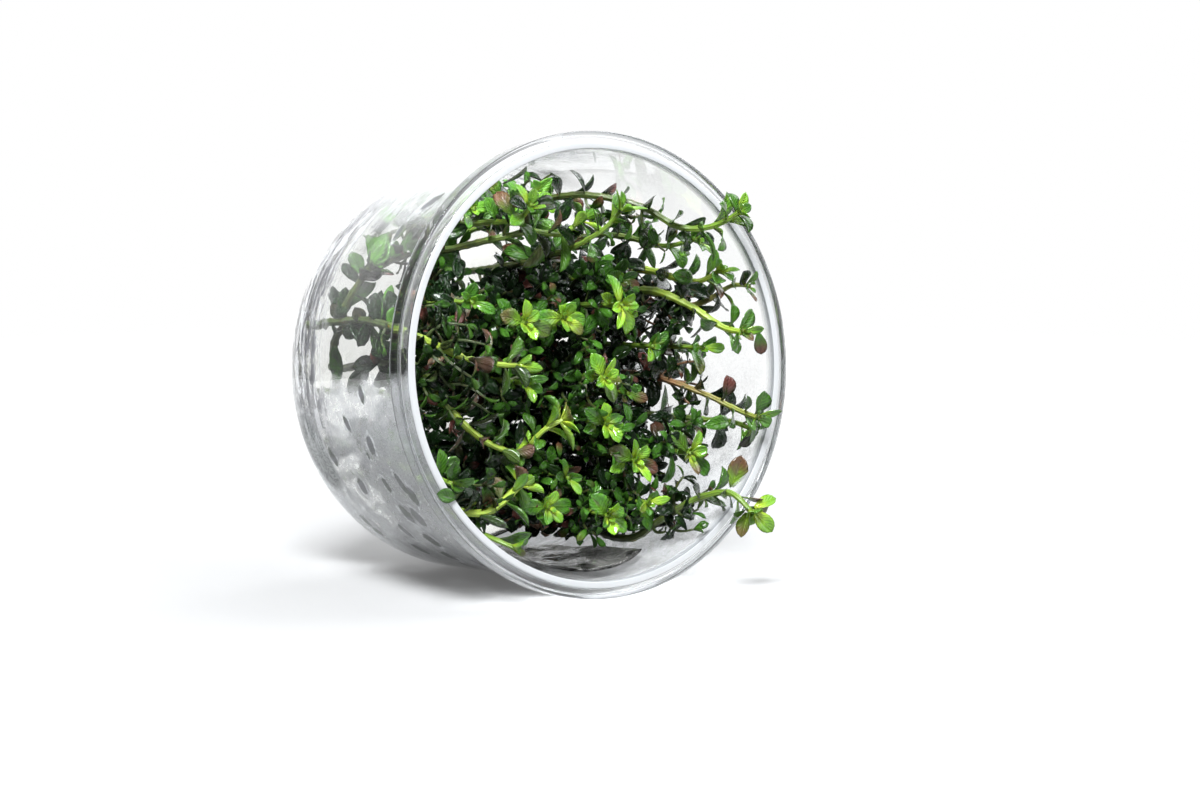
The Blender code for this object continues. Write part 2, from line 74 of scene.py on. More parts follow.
def resting_pose():
    """Lean of the axis and height of the base's centre: the line that touches skirt edge and corner lies
    flat."""
    skirt_end = CUP_HEIGHT - STEP_DEPTH - SKIRT_DEPTH
    arc = cad_corner_arc()
    lean = math.atan(((RIM_RADIUS - arc[:, 0]) / (skirt_end - arc[:, 1])).min())
    return lean, RIM_RADIUS * math.cos(lean) - skirt_end * math.sin(lean)


LEAN, BASE_CENTRE_Z = resting_pose()


def lie_down(points):
    """Cup frame in millimetres to part frame in metres: turned about X by a quarter turn less the lean,
    then moved."""
    points = np.asarray(points, float)
    turn = 0.5 * math.pi - LEAN
    along = points[..., 1] * math.cos(turn) - points[..., 2] * math.sin(turn) + BASE_CENTRE_Y
    height = points[..., 1] * math.sin(turn) + points[..., 2] * math.cos(turn) + BASE_CENTRE_Z
    return np.stack([points[..., 0], along, height], axis=-1) * MM


def inner_radius(height):
    """Radius of the cup's inside: a quarter circle up to the corner's top, then a straight drafted wall."""
    height = np.asarray(height, float)
    low = BODY_RADIUS - WALL
    share = np.clip((height - CORNER_RADIUS) / (CUP_HEIGHT - CORNER_RADIUS), 0.0, 1.0)
    fall = np.clip(CORNER_RADIUS - height, 0.0, CORNER_RADIUS - WALL)
    arc = BODY_RADIUS - CORNER_RADIUS + np.sqrt((CORNER_RADIUS - WALL) ** 2 - fall**2)
    return np.where(height < CORNER_RADIUS, arc, low + (MOUTH_RADIUS - low) * share)


def rounded(points, radius, steps):
    """A polyline whose corners are cut by a quadratic curve from one side's cut point to the other's."""
    points = np.asarray(points, float)
    before, corner, after = points[:-2], points[1:-1], points[2:]
    back = before - corner
    on = after - corner
    short = np.minimum(np.linalg.norm(back, axis=1), np.linalg.norm(on, axis=1)) * 0.45
    cut = np.minimum(radius, short)[:, None]
    start = corner + cut * back / np.linalg.norm(back, axis=1)[:, None]
    end = corner + cut * on / np.linalg.norm(on, axis=1)[:, None]
    t = np.linspace(0.0, 1.0, steps + 1)[None, :, None]
    curve = (1 - t) ** 2 * start[:, None] + 2 * t * (1 - t) * corner[:, None] + t**2 * end[:, None]
    return np.concatenate([points[:1], curve.reshape(-1, 2), points[-1:]])


def corner_curve(radius, steps):
    """Quarter circle of the base corner at a radius, from the base up to the wall."""
    turn = np.linspace(-0.5 * math.pi, 0.0, steps + 1)
    centre = BODY_RADIUS - CORNER_RADIUS
    return np.stack([centre + radius * np.cos(turn), CORNER_RADIUS + radius * np.sin(turn)], axis=1)


def cup_profile():
    """Half section of the cup from the inside's centre over the rim to the outside's centre."""
    face = CUP_HEIGHT - STEP_DEPTH
    skirt_end = face - SKIRT_DEPTH
    under = face - FLANGE_THICKNESS
    wall_end = CUP_HEIGHT - 3.0
    lip_edge = MOUTH_RADIUS + LIP_WIDTH
    skirt_inside = RIM_RADIUS - SKIRT_THICKNESS
    outer_wall = BODY_RADIUS + (MOUTH_RADIUS + WALL - BODY_RADIUS) * 0.9
    rim = rounded(
        [
            (inner_radius(wall_end), wall_end), (MOUTH_RADIUS, CUP_HEIGHT), (lip_edge, CUP_HEIGHT),
            (lip_edge + LIP_DRAFT, face), (RIM_RADIUS, face), (RIM_RADIUS, skirt_end),
            (skirt_inside, skirt_end), (skirt_inside, under), (MOUTH_RADIUS + WALL, under),
            (outer_wall, under - 6.0),
        ],
        EDGE_ROUNDING, ROUND_STEPS,
    )
    inside = np.concatenate([[(0.0, WALL)], corner_curve(CORNER_RADIUS - WALL, CORNER_STEPS)])
    height = np.linspace(CORNER_RADIUS, wall_end, WALL_STEPS)[1:-1]
    wall = np.stack([inner_radius(height), height], axis=1)
    outside = np.concatenate([corner_curve(CORNER_RADIUS, CORNER_STEPS)[::-1], [(0.0, 0.0)]])
    return np.concatenate([inside, wall, rim, outside])


def ring_quads(rows, columns):
    """Faces of a grid whose columns close on themselves: each joins a point to the next in its row and its
    column."""
    row, column = np.meshgrid(np.arange(rows - 1), np.arange(columns), indexing="ij")
    beside = (column + 1) % columns
    here, above = row * columns, (row + 1) * columns
    corners = (here + column, here + beside, above + beside, above + column)
    return np.stack(corners, axis=-1).reshape(-1, 4)


def fanned_rings(rows, steps):
    """Faces of closed rings with a fan at each end, to the two pole points that follow the last ring."""
    around = np.arange(steps)
    beside = (around + 1) % steps
    last = (rows - 1) * steps
    first_fan = np.stack([np.full(steps, rows * steps), beside, around], axis=1)
    last_fan = np.stack([np.full(steps, rows * steps + 1), last + around, last + beside], axis=1)
    return [ring_quads(rows, steps), first_fan, last_fan]


def ring_caps(rows, columns):
    """The first and last ring of a tube as one face each, both facing outwards."""
    around = np.arange(columns)
    return np.stack([around[::-1], (rows - 1) * columns + around])


def lathed(profile, steps, wave):
    """Points and faces of a profile turned about Z, its two ends on the axis as single points.

    wave moves arrays of radius and height by the turn.
    """
    turn = np.linspace(0.0, 2 * math.pi, steps, endpoint=False)
    radius = np.repeat(profile[1:-1, :1], steps, axis=1)
    height = np.repeat(profile[1:-1, 1:], steps, axis=1)
    radius, height = wave(radius, height, turn[None, :])
    body = np.stack([radius * np.cos(turn), radius * np.sin(turn), height], axis=-1).reshape(-1, 3)
    points = np.concatenate([body, [(0.0, 0.0, profile[0, 1]), (0.0, 0.0, profile[-1, 1])]])
    return points, fanned_rings(len(profile) - 2, steps)


def facing_out(points, faces):
    """The faces, all turned round if the volume they enclose comes out negative."""
    volume = 0.0
    for part in faces:
        first = points[part[:, 0]]
        for k in range(1, part.shape[1] - 1):
            volume += np.einsum("ij,ij->", first, np.cross(points[part[:, k]], points[part[:, k + 1]]))
    return faces if volume > 0 else [part[:, ::-1] for part in faces]


def new_piece(name, points, faces, materials, stands_for=()):
    """A smooth mesh piece from points in the cup's frame, lying down with the cup and riding on the part."""
    mesh = bpy.data.meshes.new(name)
    mesh.from_pydata(lie_down(points).tolist(), [], [face for part in faces for face in part.tolist()])
    mesh.polygons.foreach_set("use_smooth", np.ones(len(mesh.polygons), bool))
    for material in materials:
        mesh.materials.append(material)
    piece = bpy.data.objects.new(name, mesh)
    bpy.context.scene.collection.objects.link(piece)
    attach(piece, "root")
    if stands_for:
        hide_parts(*stands_for)
    return piece


class Nodes:
    """A node tree being put together, with short ways to add and join nodes."""

    def __init__(self, tree):
        self.tree = tree

    def fill(self, node, inputs):
        """Sets or links a node's inputs, given as {place or name: value or socket}."""
        for place, value in inputs.items():
            socket = node.inputs[place]
            if isinstance(value, bpy.types.NodeSocket):
                self.tree.links.new(value, socket)
            elif socket.type == "RGBA" and isinstance(value, tuple):
                socket.default_value = (*value, 1.0)
            else:
                socket.default_value = value

    def node(self, kind, inputs=None, **settings):
        """A new node with its settings and its inputs."""
        made = self.tree.nodes.new("ShaderNode" + kind)
        for name, value in settings.items():
            setattr(made, name, value)
        self.fill(made, inputs or {})
        return made

    def maths(self, operation, a, b=0.5, clamp=False):
        """Output of a Math node."""
        return self.node("Math", {0: a, 1: b}, operation=operation, use_clamp=clamp).outputs[0]

    def times(self, a, b):
        """Product of two values."""
        return self.maths("MULTIPLY", a, b)

    def plus(self, a, b, clamp=False):
        """Sum of two values."""
        return self.maths("ADD", a, b, clamp)

    def minus(self, a, b):
        """Difference of two values."""
        return self.maths("SUBTRACT", a, b)

    def vector_maths(self, operation, a, b=(0.0, 0.0, 0.0)):
        """A VectorMath node."""
        return self.node("VectorMath", {0: a, 1: b}, operation=operation)

    def mixed(self, factor, a, b, blend="MIX"):
        """Output of a colour mix from a to b."""
        return self.node("Mix", {0: factor, 6: a, 7: b}, data_type="RGBA", blend_type=blend).outputs[2]

    def tinted(self, colour, tint):
        """A colour multiplied by another."""
        return self.mixed(1.0, colour, tint, "MULTIPLY")

    def noise(self, vector, scale, detail=2.0, roughness=0.5, distortion=0.0):
        """Output of a noise from 0 to 1."""
        inputs = {"Vector": vector, "Scale": scale, "Detail": detail, "Roughness": roughness}
        return self.node("TexNoise", {**inputs, "Distortion": distortion}).outputs[0]

    def range(self, value, low, high, to_low=0.0, to_high=1.0):
        """Output of a smooth step from low to high, made a step from to_low to to_high."""
        inputs = {0: value, 1: low, 2: high, 3: to_low, 4: to_high}
        return self.node("MapRange", inputs, interpolation_type="SMOOTHSTEP").outputs[0]


class Finish(Nodes):
    """A node material with its Principled shader."""

    def __init__(self, name, **values):
        self.material = bpy.data.materials.new(name)
        self.material.use_nodes = True
        super().__init__(self.material.node_tree)
        self.shader = self.tree.nodes["Principled BSDF"]
        self.set(**values)

    def set(self, **values):
        """Sets or links the shader's inputs by their names, with underscores for spaces."""
        self.fill(self.shader, {name.replace("_", " "): value for name, value in values.items()})

    def show(self, shader, socket):
        """Joins a shader node to the material's output."""
        self.fill(self.tree.nodes["Material Output"], {socket: shader.outputs[0]})

    def blend_with(self, share, other):
        """Shows the Principled shader mixed with another shader by a share."""
        inputs = {0: share, 1: self.shader.outputs[0], 2: other.outputs[0]}
        self.show(self.node("MixShader", inputs), "Surface")

    def absorb(self, colour, density):
        """Absorbs light in the piece's depth."""
        self.show(self.node("VolumeAbsorption", {"Color": colour, "Density": density}), "Volume")

    def value(self, name, output="Fac"):
        """Output of a mesh attribute."""
        return self.node("Attribute", attribute_name=name).outputs[output]

    def place(self):
        """Object coordinates, in metres of the part's frame."""
        return self.node("TexCoord").outputs["Object"]

    def bump(self, height, distance):
        """Output of a bump of a height field."""
        return self.node("Bump", {"Height": height, "Distance": distance}).outputs[0]


MOULD_WAVE = 0.09
PLASTIC_TINT = (0.80, 0.82, 0.83)
PLASTIC_DENSITY = 180.0
SEAL_RADII = (46.1, 47.75)
SEAL_LOWEST = 66.3
FOG_LINE = 180.0
FOG_TURNS = (180.0, 184.0, 252.0, 275.0, 335.0, 362.0, 430.0, 450.0, 480.0, 498.0)
FOG_SHARES = (0.2, 0.9, 0.9, 0.5, 0.5, 0.05, 0.05, 0.5, 0.5, 0.0)
PAINTED_EDGE_RADIUS = 49.3
PAINTED_EDGE_HEIGHTS = (64.9, 66.5)
WALL_LEAVES = (
    (-162, 42, 88, 4.8), (-159, 39, 60, 2.8), (-149, 29, 100, 4.6), (-150, 41, 85, 4.2), (-151, 48, 75, 5.2),
    (-147, 50, 105, 4.8), (-135, 17, 95, 4.6), (-132, 32, 92, 5.0), (-130, 17, 100, 3.6), (-140, 41, 88, 5.6),
    (-139, 45, 84, 5.4), (-129, 40, 95, 5.0), (-168, 34, 60, 4.0), (-176, 43, 75, 4.0), (-120, 37, 90, 5.2),
    (-122, 27, 88, 5.0), (-112, 36, 92, 5.0), (-117, 46, 80, 4.6), (-158, 22, 80, 4.4), (-143, 56, 88, 4.4),
    (138, 43, 90, 4.6), (127, 47, -45, 6.2),
)
WALL_LEAF_BREADTH = 0.27
SWIRL = (201.5, 15.5, 10.0, 5.2, -0.2)


def mould_waves(radius, height, turn):
    """The inner face of wall and corner, moved in and out by slanting sines that fade towards base and
    mouth."""
    inner = radius < inner_radius(height) + 0.05
    fade = np.clip((height - 2.5) / 5.0, 0.0, 1.0) * np.clip((30.0 - height) / 14.0, 0.0, 1.0)
    slant = 1.7 * height + 7.0 * np.sin(turn + 0.6) + 3.0 * np.sin(3.0 * turn)
    ripple = np.sin(slant) * (0.6 + 0.4 * np.sin(9.0 * turn + 0.5 * height))
    ripple = ripple + 0.5 * np.sin(0.9 * height - 17.0 * turn)
    return radius + np.where(inner & (radius > 20.0), MOULD_WAVE * fade * ripple, 0.0), height


def wall_place(points):
    """Turn in degrees from 0 to 360, height, and whether a point is on the inner face."""
    turn = np.degrees(np.arctan2(points[:, 1], points[:, 0])) % 360.0
    height = points[:, 2]
    inner = (np.hypot(points[:, 0], points[:, 1]) < inner_radius(height) + 0.3) & (height > 1.0)
    return turn, height, inner


def eased(value, low, high):
    """Cubic step from 0 at low to 1 at high."""
    share = np.clip((value - low) / (high - low), 0.0, 1.0)
    return share**2 * (3.0 - 2.0 * share)


def from_oval(turn, height, middle, lean, half_length, half_width):
    """Distance from an oval's middle on the unrolled wall, as a share of its half axes."""
    arc = np.radians((turn - middle[0] + 180.0) % 360.0 - 180.0) * BODY_RADIUS
    up = height - middle[1]
    along = up * math.cos(lean) + arc * math.sin(lean)
    beside = arc * math.cos(lean) - up * math.sin(lean)
    return np.hypot(along / half_length, beside / half_width)


def fog_amount(points):
    """Share of mist on the inner wall: straight pieces over the turn, which is bent by sines of the
    height."""
    turn, height, inner = wall_place(points)
    around = turn + 1.6 * np.sin(0.42 * height + 0.6) + 0.8 * np.sin(1.3 * height)
    around = np.where(around < FOG_LINE - 0.01, around + 360.0, around)
    amount = np.interp(around, FOG_TURNS, FOG_SHARES)
    return amount * inner * eased(height, 3.0, 7.0) * (1.0 - eased(height, 63.5, 65.5))


def leaf_gap(points):
    """Distance from the nearest leaf on the wall as a share of the leaf's half axes, 3 at most and off the
    wall."""
    turn, height, inner = wall_place(points)
    gap = np.full(len(points), 3.0)
    for angle, out, lean, length in WALL_LEAVES:
        half_width = (1.1 + 0.3 * math.sin(7.0 * angle)) * WALL_LEAF_BREADTH * length
        oval = from_oval(turn, height, (angle, out), math.radians(lean), 0.52 * length, half_width)
        gap = np.minimum(gap, oval)
    return np.where(inner, gap, 3.0)


def streak_amount(points):
    """Share of the painted refraction streaks: strong in the rounded corner on the left, faint over the wall
    above it.
    """
    turn, height, inner = wall_place(points)
    corner = eased(turn, 105.0, 130.0) * (1.0 - eased(turn, 182.0, 210.0)) * eased(height, 4.0, 9.0)
    corner = corner * (1.0 - eased(height, 20.0, 28.0))
    wall = eased(turn, 70.0, 95.0) * (1.0 - eased(turn, 128.0, 140.0))
    wall = wall * (1.0 - eased(height, 61.0, 64.5)) * eased(height, 4.0, 9.0)
    return np.maximum(corner, 0.35 * wall) * inner


def clear_plastic():
    """Clear plastic with mist, painted dark and light streaks for the wet wall's refraction and a greyer
    swirled patch on its inner face, and a frosted sealing face.

    It greys where it is looked through edgeways by its absorption; the lip's inner band and the flange's edge
    are also painted grey, painted shade for the dark lines that refraction draws there.
    """
    finish = Finish("clear_plastic", IOR=1.49)
    place = finish.value("cup_place", "Vector")
    names = ("seal", "fog", "leaf_gap", "streak", "swirl", "edge")
    seal, fog, gap, streak, swirl, edge = (finish.value(name) for name in names)
    clouds = finish.noise(place, 0.13, 5.0, 0.62, 1.6)
    patches = finish.noise(place, 0.45, 4.0, 0.6, 0.8)
    grain = finish.noise(place, 2.4, 3.0, 0.75)
    stretched = finish.vector_maths("MULTIPLY", place, (0.11, 0.11, 0.6)).outputs[0]
    runs = finish.noise(stretched, 1.0, 4.0, 0.62, 0.9)
    waves = finish.noise(place, 0.04, 1.0)
    curls = finish.range(finish.noise(place, 0.22, 3.0, 0.5, 6.0), 0.4, 0.6)

    off_leaf = finish.plus(gap, finish.times(finish.minus(patches, 0.5), 1.3))
    leaf = finish.range(off_leaf, 0.9, 1.05, 1.0, 0.0)
    halo = finish.times(finish.range(off_leaf, 1.0, 1.15), finish.range(off_leaf, 1.2, 1.8, 1.0, 0.0))
    halo = finish.times(halo, finish.range(clouds, 0.45, 0.6))
    thinned = ((clouds, 0.3, 0.62, 0.45), (patches, 0.35, 0.6, 0.7), (grain, 0.38, 0.6, 0.55))
    for noise, low, high, least in thinned:
        fog = finish.times(fog, finish.range(noise, low, high, least))
    # Painted shade and painted light: dark and light streaks in the corner stand for the refraction of the
    # wet, rippled wall.
    painted_dark_band = finish.times(streak, finish.range(runs, 0.53, 0.57))
    painted_light_band = finish.times(streak, finish.range(runs, 0.48, 0.43))

    film = finish.mixed(finish.range(patches, 0.35, 0.65), (0.50, 0.51, 0.54), (0.25, 0.255, 0.28))
    # Painted shade: the mist is darker and denser in the streaked corner.
    film = finish.mixed(finish.range(streak, 0.0, 0.3), film, (0.19, 0.19, 0.21))
    greyed = finish.times(fog, finish.range(streak, 0.0, 0.3, 1.0, 1.5))
    curled = finish.mixed(curls, (0.16, 0.175, 0.17), (0.36, 0.38, 0.38))
    leaf_print = finish.mixed(finish.range(clouds, 0.4, 0.6), (0.02, 0.035, 0.018), (0.10, 0.10, 0.115))
    colour = finish.mixed(seal, (0.985, 0.99, 0.99), (0.47, 0.48, 0.49))
    for share, shade in (
        (edge, (0.30, 0.31, 0.33)), (greyed, film), (swirl, curled),
        (finish.times(halo, 0.35), (0.75, 0.76, 0.78)), (painted_dark_band, (0.10, 0.10, 0.11)),
        (painted_light_band, (0.7, 0.7, 0.72)), (leaf, leaf_print),
    ):
        colour = finish.mixed(share, colour, shade)
    shut = finish.times(seal, 0.85)
    cover = ((fog, 0.8), (swirl, 0.55), (painted_dark_band, 0.8), (painted_light_band, 0.45), (halo, 0.3), (leaf, 0.9))
    for part, share in cover:
        shut = finish.plus(shut, finish.times(part, share))
    shut = finish.maths("MINIMUM", shut, 0.9)
    finish.set(Base_Color=colour, Transmission_Weight=finish.minus(1.0, shut),
               Normal=finish.bump(waves, 0.0005), Roughness=finish.times(shut, 0.4))
    finish.absorb(PLASTIC_TINT, PLASTIC_DENSITY)
    return finish.material


def add_values(piece, name, values):
    """A value for each point of a piece's mesh, for its material to read."""
    layer = piece.data.attributes.new(name, "FLOAT", "POINT")
    layer.data.foreach_set("value", values.astype(np.float32))


cup_points, cup_faces = lathed(cup_profile(), CUP_STEPS, mould_waves)
cup_faces = facing_out(cup_points, cup_faces)
cup = new_piece("cup_shell", cup_points, cup_faces, [clear_plastic()], ("cup",))
reach = np.hypot(cup_points[:, 0], cup_points[:, 1])
on_seal = (reach > SEAL_RADII[0]) & (reach < SEAL_RADII[1]) & (cup_points[:, 2] > SEAL_LOWEST)
add_values(cup, "seal", on_seal.astype(float))
add_values(cup, "fog", fog_amount(cup_points))
add_values(cup, "leaf_gap", leaf_gap(cup_points))
add_values(cup, "streak", streak_amount(cup_points))
cup_turn, cup_height, cup_inner = wall_place(cup_points)
# A swirled patch low on the inner wall, drawn greyer and less clear.
from_swirl = from_oval(cup_turn, cup_height, SWIRL[:2], 0.5 * math.pi + SWIRL[4], *SWIRL[2:4])
add_values(cup, "swirl", cup_inner * (1.0 - eased(from_swirl, 0.8, 1.05)))
# Painted shade: the lip's inner band and the flange's edge are greyed for the dark lines that refraction
# draws in the rim.
at_lip = cup_inner & (cup_height > PAINTED_EDGE_HEIGHTS[0]) & (cup_height < PAINTED_EDGE_HEIGHTS[1])
at_skirt = (reach > PAINTED_EDGE_RADIUS) & (cup_height > 60.0)
add_values(cup, "edge", np.maximum(at_lip, 0.6 * at_skirt))
layer = cup.data.attributes.new("cup_place", "FLOAT_VECTOR", "POINT")
layer.data.foreach_set("vector", cup_points.astype(np.float32).ravel())
# The cup casts no shadow, so that the lamps reach the plants through its clear wall.
cup.visible_shadow = False

# The nutrient gel is a pale translucent block poured into the base. Its top creeps up the wall as it sets,
# and the stems' feet stand in it. How thick it is can't be seen, and is a guess.
GAP = 0.3
GEL_TOP = 5.0
GEL_ROWS = 24
GEL_STEPS = 160
MENISCUS = 1.1
MENISCUS_STEEPNESS = 14
RIPPLE_REACH = 34.0


def gel_profile():
    """Half section of the gel from its top's centre out to the meniscus, then down the corner to the base."""
    reach = CORNER_RADIUS - WALL - GAP
    edge = BODY_RADIUS - CORNER_RADIUS + math.sqrt(reach**2 - (CORNER_RADIUS - GEL_TOP - MENISCUS) ** 2)
    across = np.linspace(0.0, 1.0, GEL_ROWS)
    top = np.stack([edge * across, GEL_TOP + MENISCUS * across**MENISCUS_STEEPNESS], axis=1)
    arc = corner_curve(reach, GEL_ROWS)
    arc = arc[arc[:, 1] < GEL_TOP + MENISCUS - 0.2][::-1]
    return np.concatenate([top, arc, [(0.0, WALL + GAP)]])


def gel_waves(radius, height, turn):
    """Top of the gel raised and lowered by a few crossed sines, fading out at the edge and below."""
    x, y = radius * np.cos(turn), radius * np.sin(turn)
    ripple = 0.22 * np.sin(0.31 * x + 1.0) * np.cos(0.27 * y) + 0.12 * np.sin(0.7 * x - 0.5 * y)
    on_top = (height > GEL_TOP - 0.01) & (radius < RIPPLE_REACH)
    fade = np.clip(1.0 - radius / RIPPLE_REACH, 0.0, 1.0) ** 0.5
    return radius, height + np.where(on_top, ripple * fade, 0.0)


def gel_finish():
    """Moist gel: mostly see-through, milky in clouds."""
    finish = Finish("nutrient_gel", IOR=1.35, Roughness=0.12)
    place = finish.place()
    clouds = finish.noise(place, 55.0, 3.0, 0.55, 0.6)
    finish.set(Base_Color=finish.mixed(clouds, (0.98, 0.98, 0.97), (0.90, 0.89, 0.84)),
               Transmission_Weight=finish.range(clouds, 0.45, 0.8, 1.0, 0.75),
               Normal=finish.bump(finish.noise(place, 220.0, 3.0), 0.0004))
    return finish.material


gel_material = gel_finish()


def wet_gel_finish():
    """The same gel thin and wet: clearer and grey where it is looked through edgeways, with a glossy skin."""
    finish = Finish("wet_gel", IOR=1.35, Roughness=0.05)
    place = finish.place()
    clouds = finish.noise(place, 90.0, 4.0, 0.6, 1.5)
    finish.set(Base_Color=finish.mixed(clouds, (0.66, 0.66, 0.64), (0.42, 0.41, 0.38)),
               Transmission_Weight=finish.range(clouds, 0.35, 0.75, 1.0, 0.72),
               Normal=finish.bump(finish.noise(place, 300.0, 3.0), 0.0005))
    finish.absorb((0.55, 0.56, 0.55), 260.0)
    return finish.material


gel_points, gel_faces = lathed(gel_profile(), GEL_STEPS, gel_waves)
new_piece("gel_block", gel_points, facing_out(gel_points, gel_faces), [gel_material], ("gel",))

# A slab of the same gel has slid along the low wall towards the mouth. It is a thin bent sheet with a wavy
# top and a rounded front edge.
SLAB_THICKNESS = 2.2
SLAB_ANGLES = (-118.0, -70.0)
SLAB_HEIGHTS = (12.0, 61.0)
SLAB_LIFT = 0.7
SLAB_CORNER_DROP = 5.0
SLAB_BACK_SHARE = 0.7
SLAB_ROWS = 60
SLAB_COLUMNS = 40
SLAB_EDGE_STEEPNESS = 2.6


def slab_sheet(rows, columns):
    """The slab's two sides as one closed tube of rings across it.

    The outer side follows the wall; the inner side is moved by sines and thins by a tanh towards the edges.
    """
    run = np.linspace(0.0, 1.0, rows)[:, None]
    ring = np.linspace(0.0, 2 * math.pi, columns, endpoint=False)[None, :]
    side = np.cos(ring) * np.ones_like(run)
    steep = np.tanh(SLAB_EDGE_STEEPNESS * np.sin(ring)) / math.tanh(SLAB_EDGE_STEEPNESS)
    lift = 0.5 * (1.0 + steep) * np.ones_like(run)
    spread = SLAB_BACK_SHARE + (1.0 - SLAB_BACK_SHARE) * run
    middle = 0.5 * (SLAB_ANGLES[0] + SLAB_ANGLES[1])
    half = 0.5 * (SLAB_ANGLES[1] - SLAB_ANGLES[0])
    turn = np.radians(middle + half * side * spread)
    front = SLAB_HEIGHTS[1] - SLAB_CORNER_DROP * side**2
    height = SLAB_HEIGHTS[0] + (front - SLAB_HEIGHTS[0]) * run
    ends = np.clip(np.minimum(run, 1.0 - run) * 14.0, 0.12, 1.0) ** 0.5
    wave = 0.14 * np.sin(11.0 * side + 5.0 * run) + 0.10 * np.sin(17.0 * run - 4.0 * side)
    thick = SLAB_THICKNESS * ends * (0.86 + wave * lift)
    radius = inner_radius(height) - GAP - SLAB_LIFT - thick * lift - 0.5 * SLAB_THICKNESS * (1.0 - ends)
    return np.stack([radius * np.cos(turn), radius * np.sin(turn), height], axis=-1).reshape(-1, 3)


slab_points = slab_sheet(SLAB_ROWS, SLAB_COLUMNS)
slab_sides = [ring_quads(SLAB_ROWS, SLAB_COLUMNS), ring_caps(SLAB_ROWS, SLAB_COLUMNS)]
slab_faces = facing_out(slab_points, slab_sides)
new_piece("gel_slab_wet", slab_points, slab_faces, [wet_gel_finish()], ("gel_slab",))

# The shoots are soft square-set stems that grow from the gel and press towards the light, each with a pair
# of small glossy leaves at every node, a quarter turn apart, and a bright rosette at its tip. Their routes
# and the leaves that the solids have are laid out as in the part's source.
ROOT_HEIGHT = 10.0
STEM_SAMPLES = 24
FINE_SAMPLES = 200
STEM_ROOM = 3.4
STEM_WALL_ROOM = 2.0
STEM_ROUNDS = 80
PUSH_SHARE = 0.25
PAST_RIM = 2.0
TIP_TAPER = 0.6
MERGE = 0.01
SLAB_SIDE_ROOM = 4.0
SLAB_END_ROOM = 1.5
NODE_STEP = 3.4
BARE_STEM = 11.0
TIP_BUD = 0.8
FEWEST_NODES = 3
NODES_PER_PAIR = 3
SEAT_SHARE = 0.7
LEAF_LENGTH = 6.6
LEAF_WIDTH = 3.3
LEAF_THICKNESS = 0.3
LEAF_CURL = 0.18
CURL_CHANGE = 0.16
SIZE_CHANGE = 0.2
TIP_LEAF_SHARE = 0.72
LEAF_GROWTH = 0.14
LEAF_PITCH = 24.0
TIP_PITCH = 46.0
PITCH_CHANGE = 16.0
LOWEST_PITCH = math.radians(-25)
HIGHEST_PITCH = math.radians(75)
CHECKED_ALONG = (0.35, 0.57, 0.79, 1.0)
CHECKED_BESIDE = (-0.85, 0.0, 0.85)
NEARBY = 12.0
LEAF_ROOM = 1.3
LEAF_STEM_ROOM = 1.7
LEAF_WALL_ROOM = 0.7
LOWEST_LEAF = 10.2
ROOT_DEPTH = 1.5
LEAF_TRIES = ((1.0, 0, 0), (1.0, 18, 14), (1.0, -18, -14), (0.85, 30, -25), (0.7, 38, 20), (0.6, -30, 30))
SEED = 7

LEADERS = (
    (((9, 36, 10), (8, 37, 34), (12, 37, 48), (20, 33.5, 57), (26, 28.5, 63), (31, 29, 70),
      (33, 31.5, 75)), 0.95),
    (((20, 24, 10), (22, 28, 25), (23.5, 27.5, 45), (27, 25, 54), (30.5, 26, 62)), 0.8),
    (((22, 18, 10), (24.5, 19, 22), (30, 20, 42), (35, 17, 57), (36.5, 19, 61.5)), 0.9),
    (((30, 12, 10), (33, 12, 42), (36, 12, 55), (40, 15.5, 62), (41, 15, 66)), 0.8),
    (((26, 8, 10), (27, 13, 30), (28.5, 15, 48), (32.5, 11, 56), (36, 6, 63), (37, 5, 68)), 1.1),
    (((28, -3, 10), (30, -3, 25), (30.5, -5.5, 50), (34.5, -9, 58), (37.5, -12.5, 65), (38.5, -14, 70)), 0.9),
    (((25, -9, 10), (27, -9, 22), (29.5, -12.5, 43), (35, -14, 53), (39.5, -15.5, 62), (41, -17.5, 66)), 0.8),
    (((14, -32, 10), (18, -37, 30), (18.5, -39.5, 47), (21, -35, 56), (26, -30.5, 64), (29, -30, 72),
      (30.5, -34, 76)), 1.0),
    (((-36, 12, 10), (-40, 12, 40), (-39, 8.5, 56), (-31, 4, 59), (-21, 1.5, 58.5), (-15, 1, 57)), 0.95),
    (((-30, 2, 10), (-35, 3, 35), (-35, 0, 52), (-32, -8, 57), (-24, -15, 57.5), (-16.5, -18, 57)), 0.95),
    (((-12, -16, 10), (-14, -19, 40), (-13, -17, 55), (-10.5, -13, 59), (-6.5, -11, 61)), 0.9),
    (((-28, -22, 10), (-36, -25, 40), (-36, -27, 55), (-32.5, -29, 61), (-27.5, -29, 62), (-23, -27, 61),
      (-17, -24, 59)), 1.1),
    (((-22, -30, 10), (-27, -34, 40), (-29, -33.5, 55), (-27, -35, 62), (-24, -37, 66)), 0.8),
    (((-34, -14, 10), (-39, -17, 40), (-39.5, -21, 58), (-39, -23, 65)), 0.8),
    (((-20, 26, 10), (-17, 27, 38), (-13.5, 28.5, 50), (-7, 29.5, 52), (1, 28.7, 52.5), (7.5, 32, 52)), 0.85),
    (((-14, 33, 10), (-13, 32, 45), (-12, 32.5, 57), (-12.5, 35, 62)), 0.85),
    (((2, 22, 10), (3, 24, 42), (4.5, 27, 57), (7, 29.3, 60.5), (9.5, 33.5, 64.5)), 0.85),
    (((-33, -3, 10), (-36, 8, 17), (-36.5, 16, 23), (-33, 24, 29)), 0.8),
)
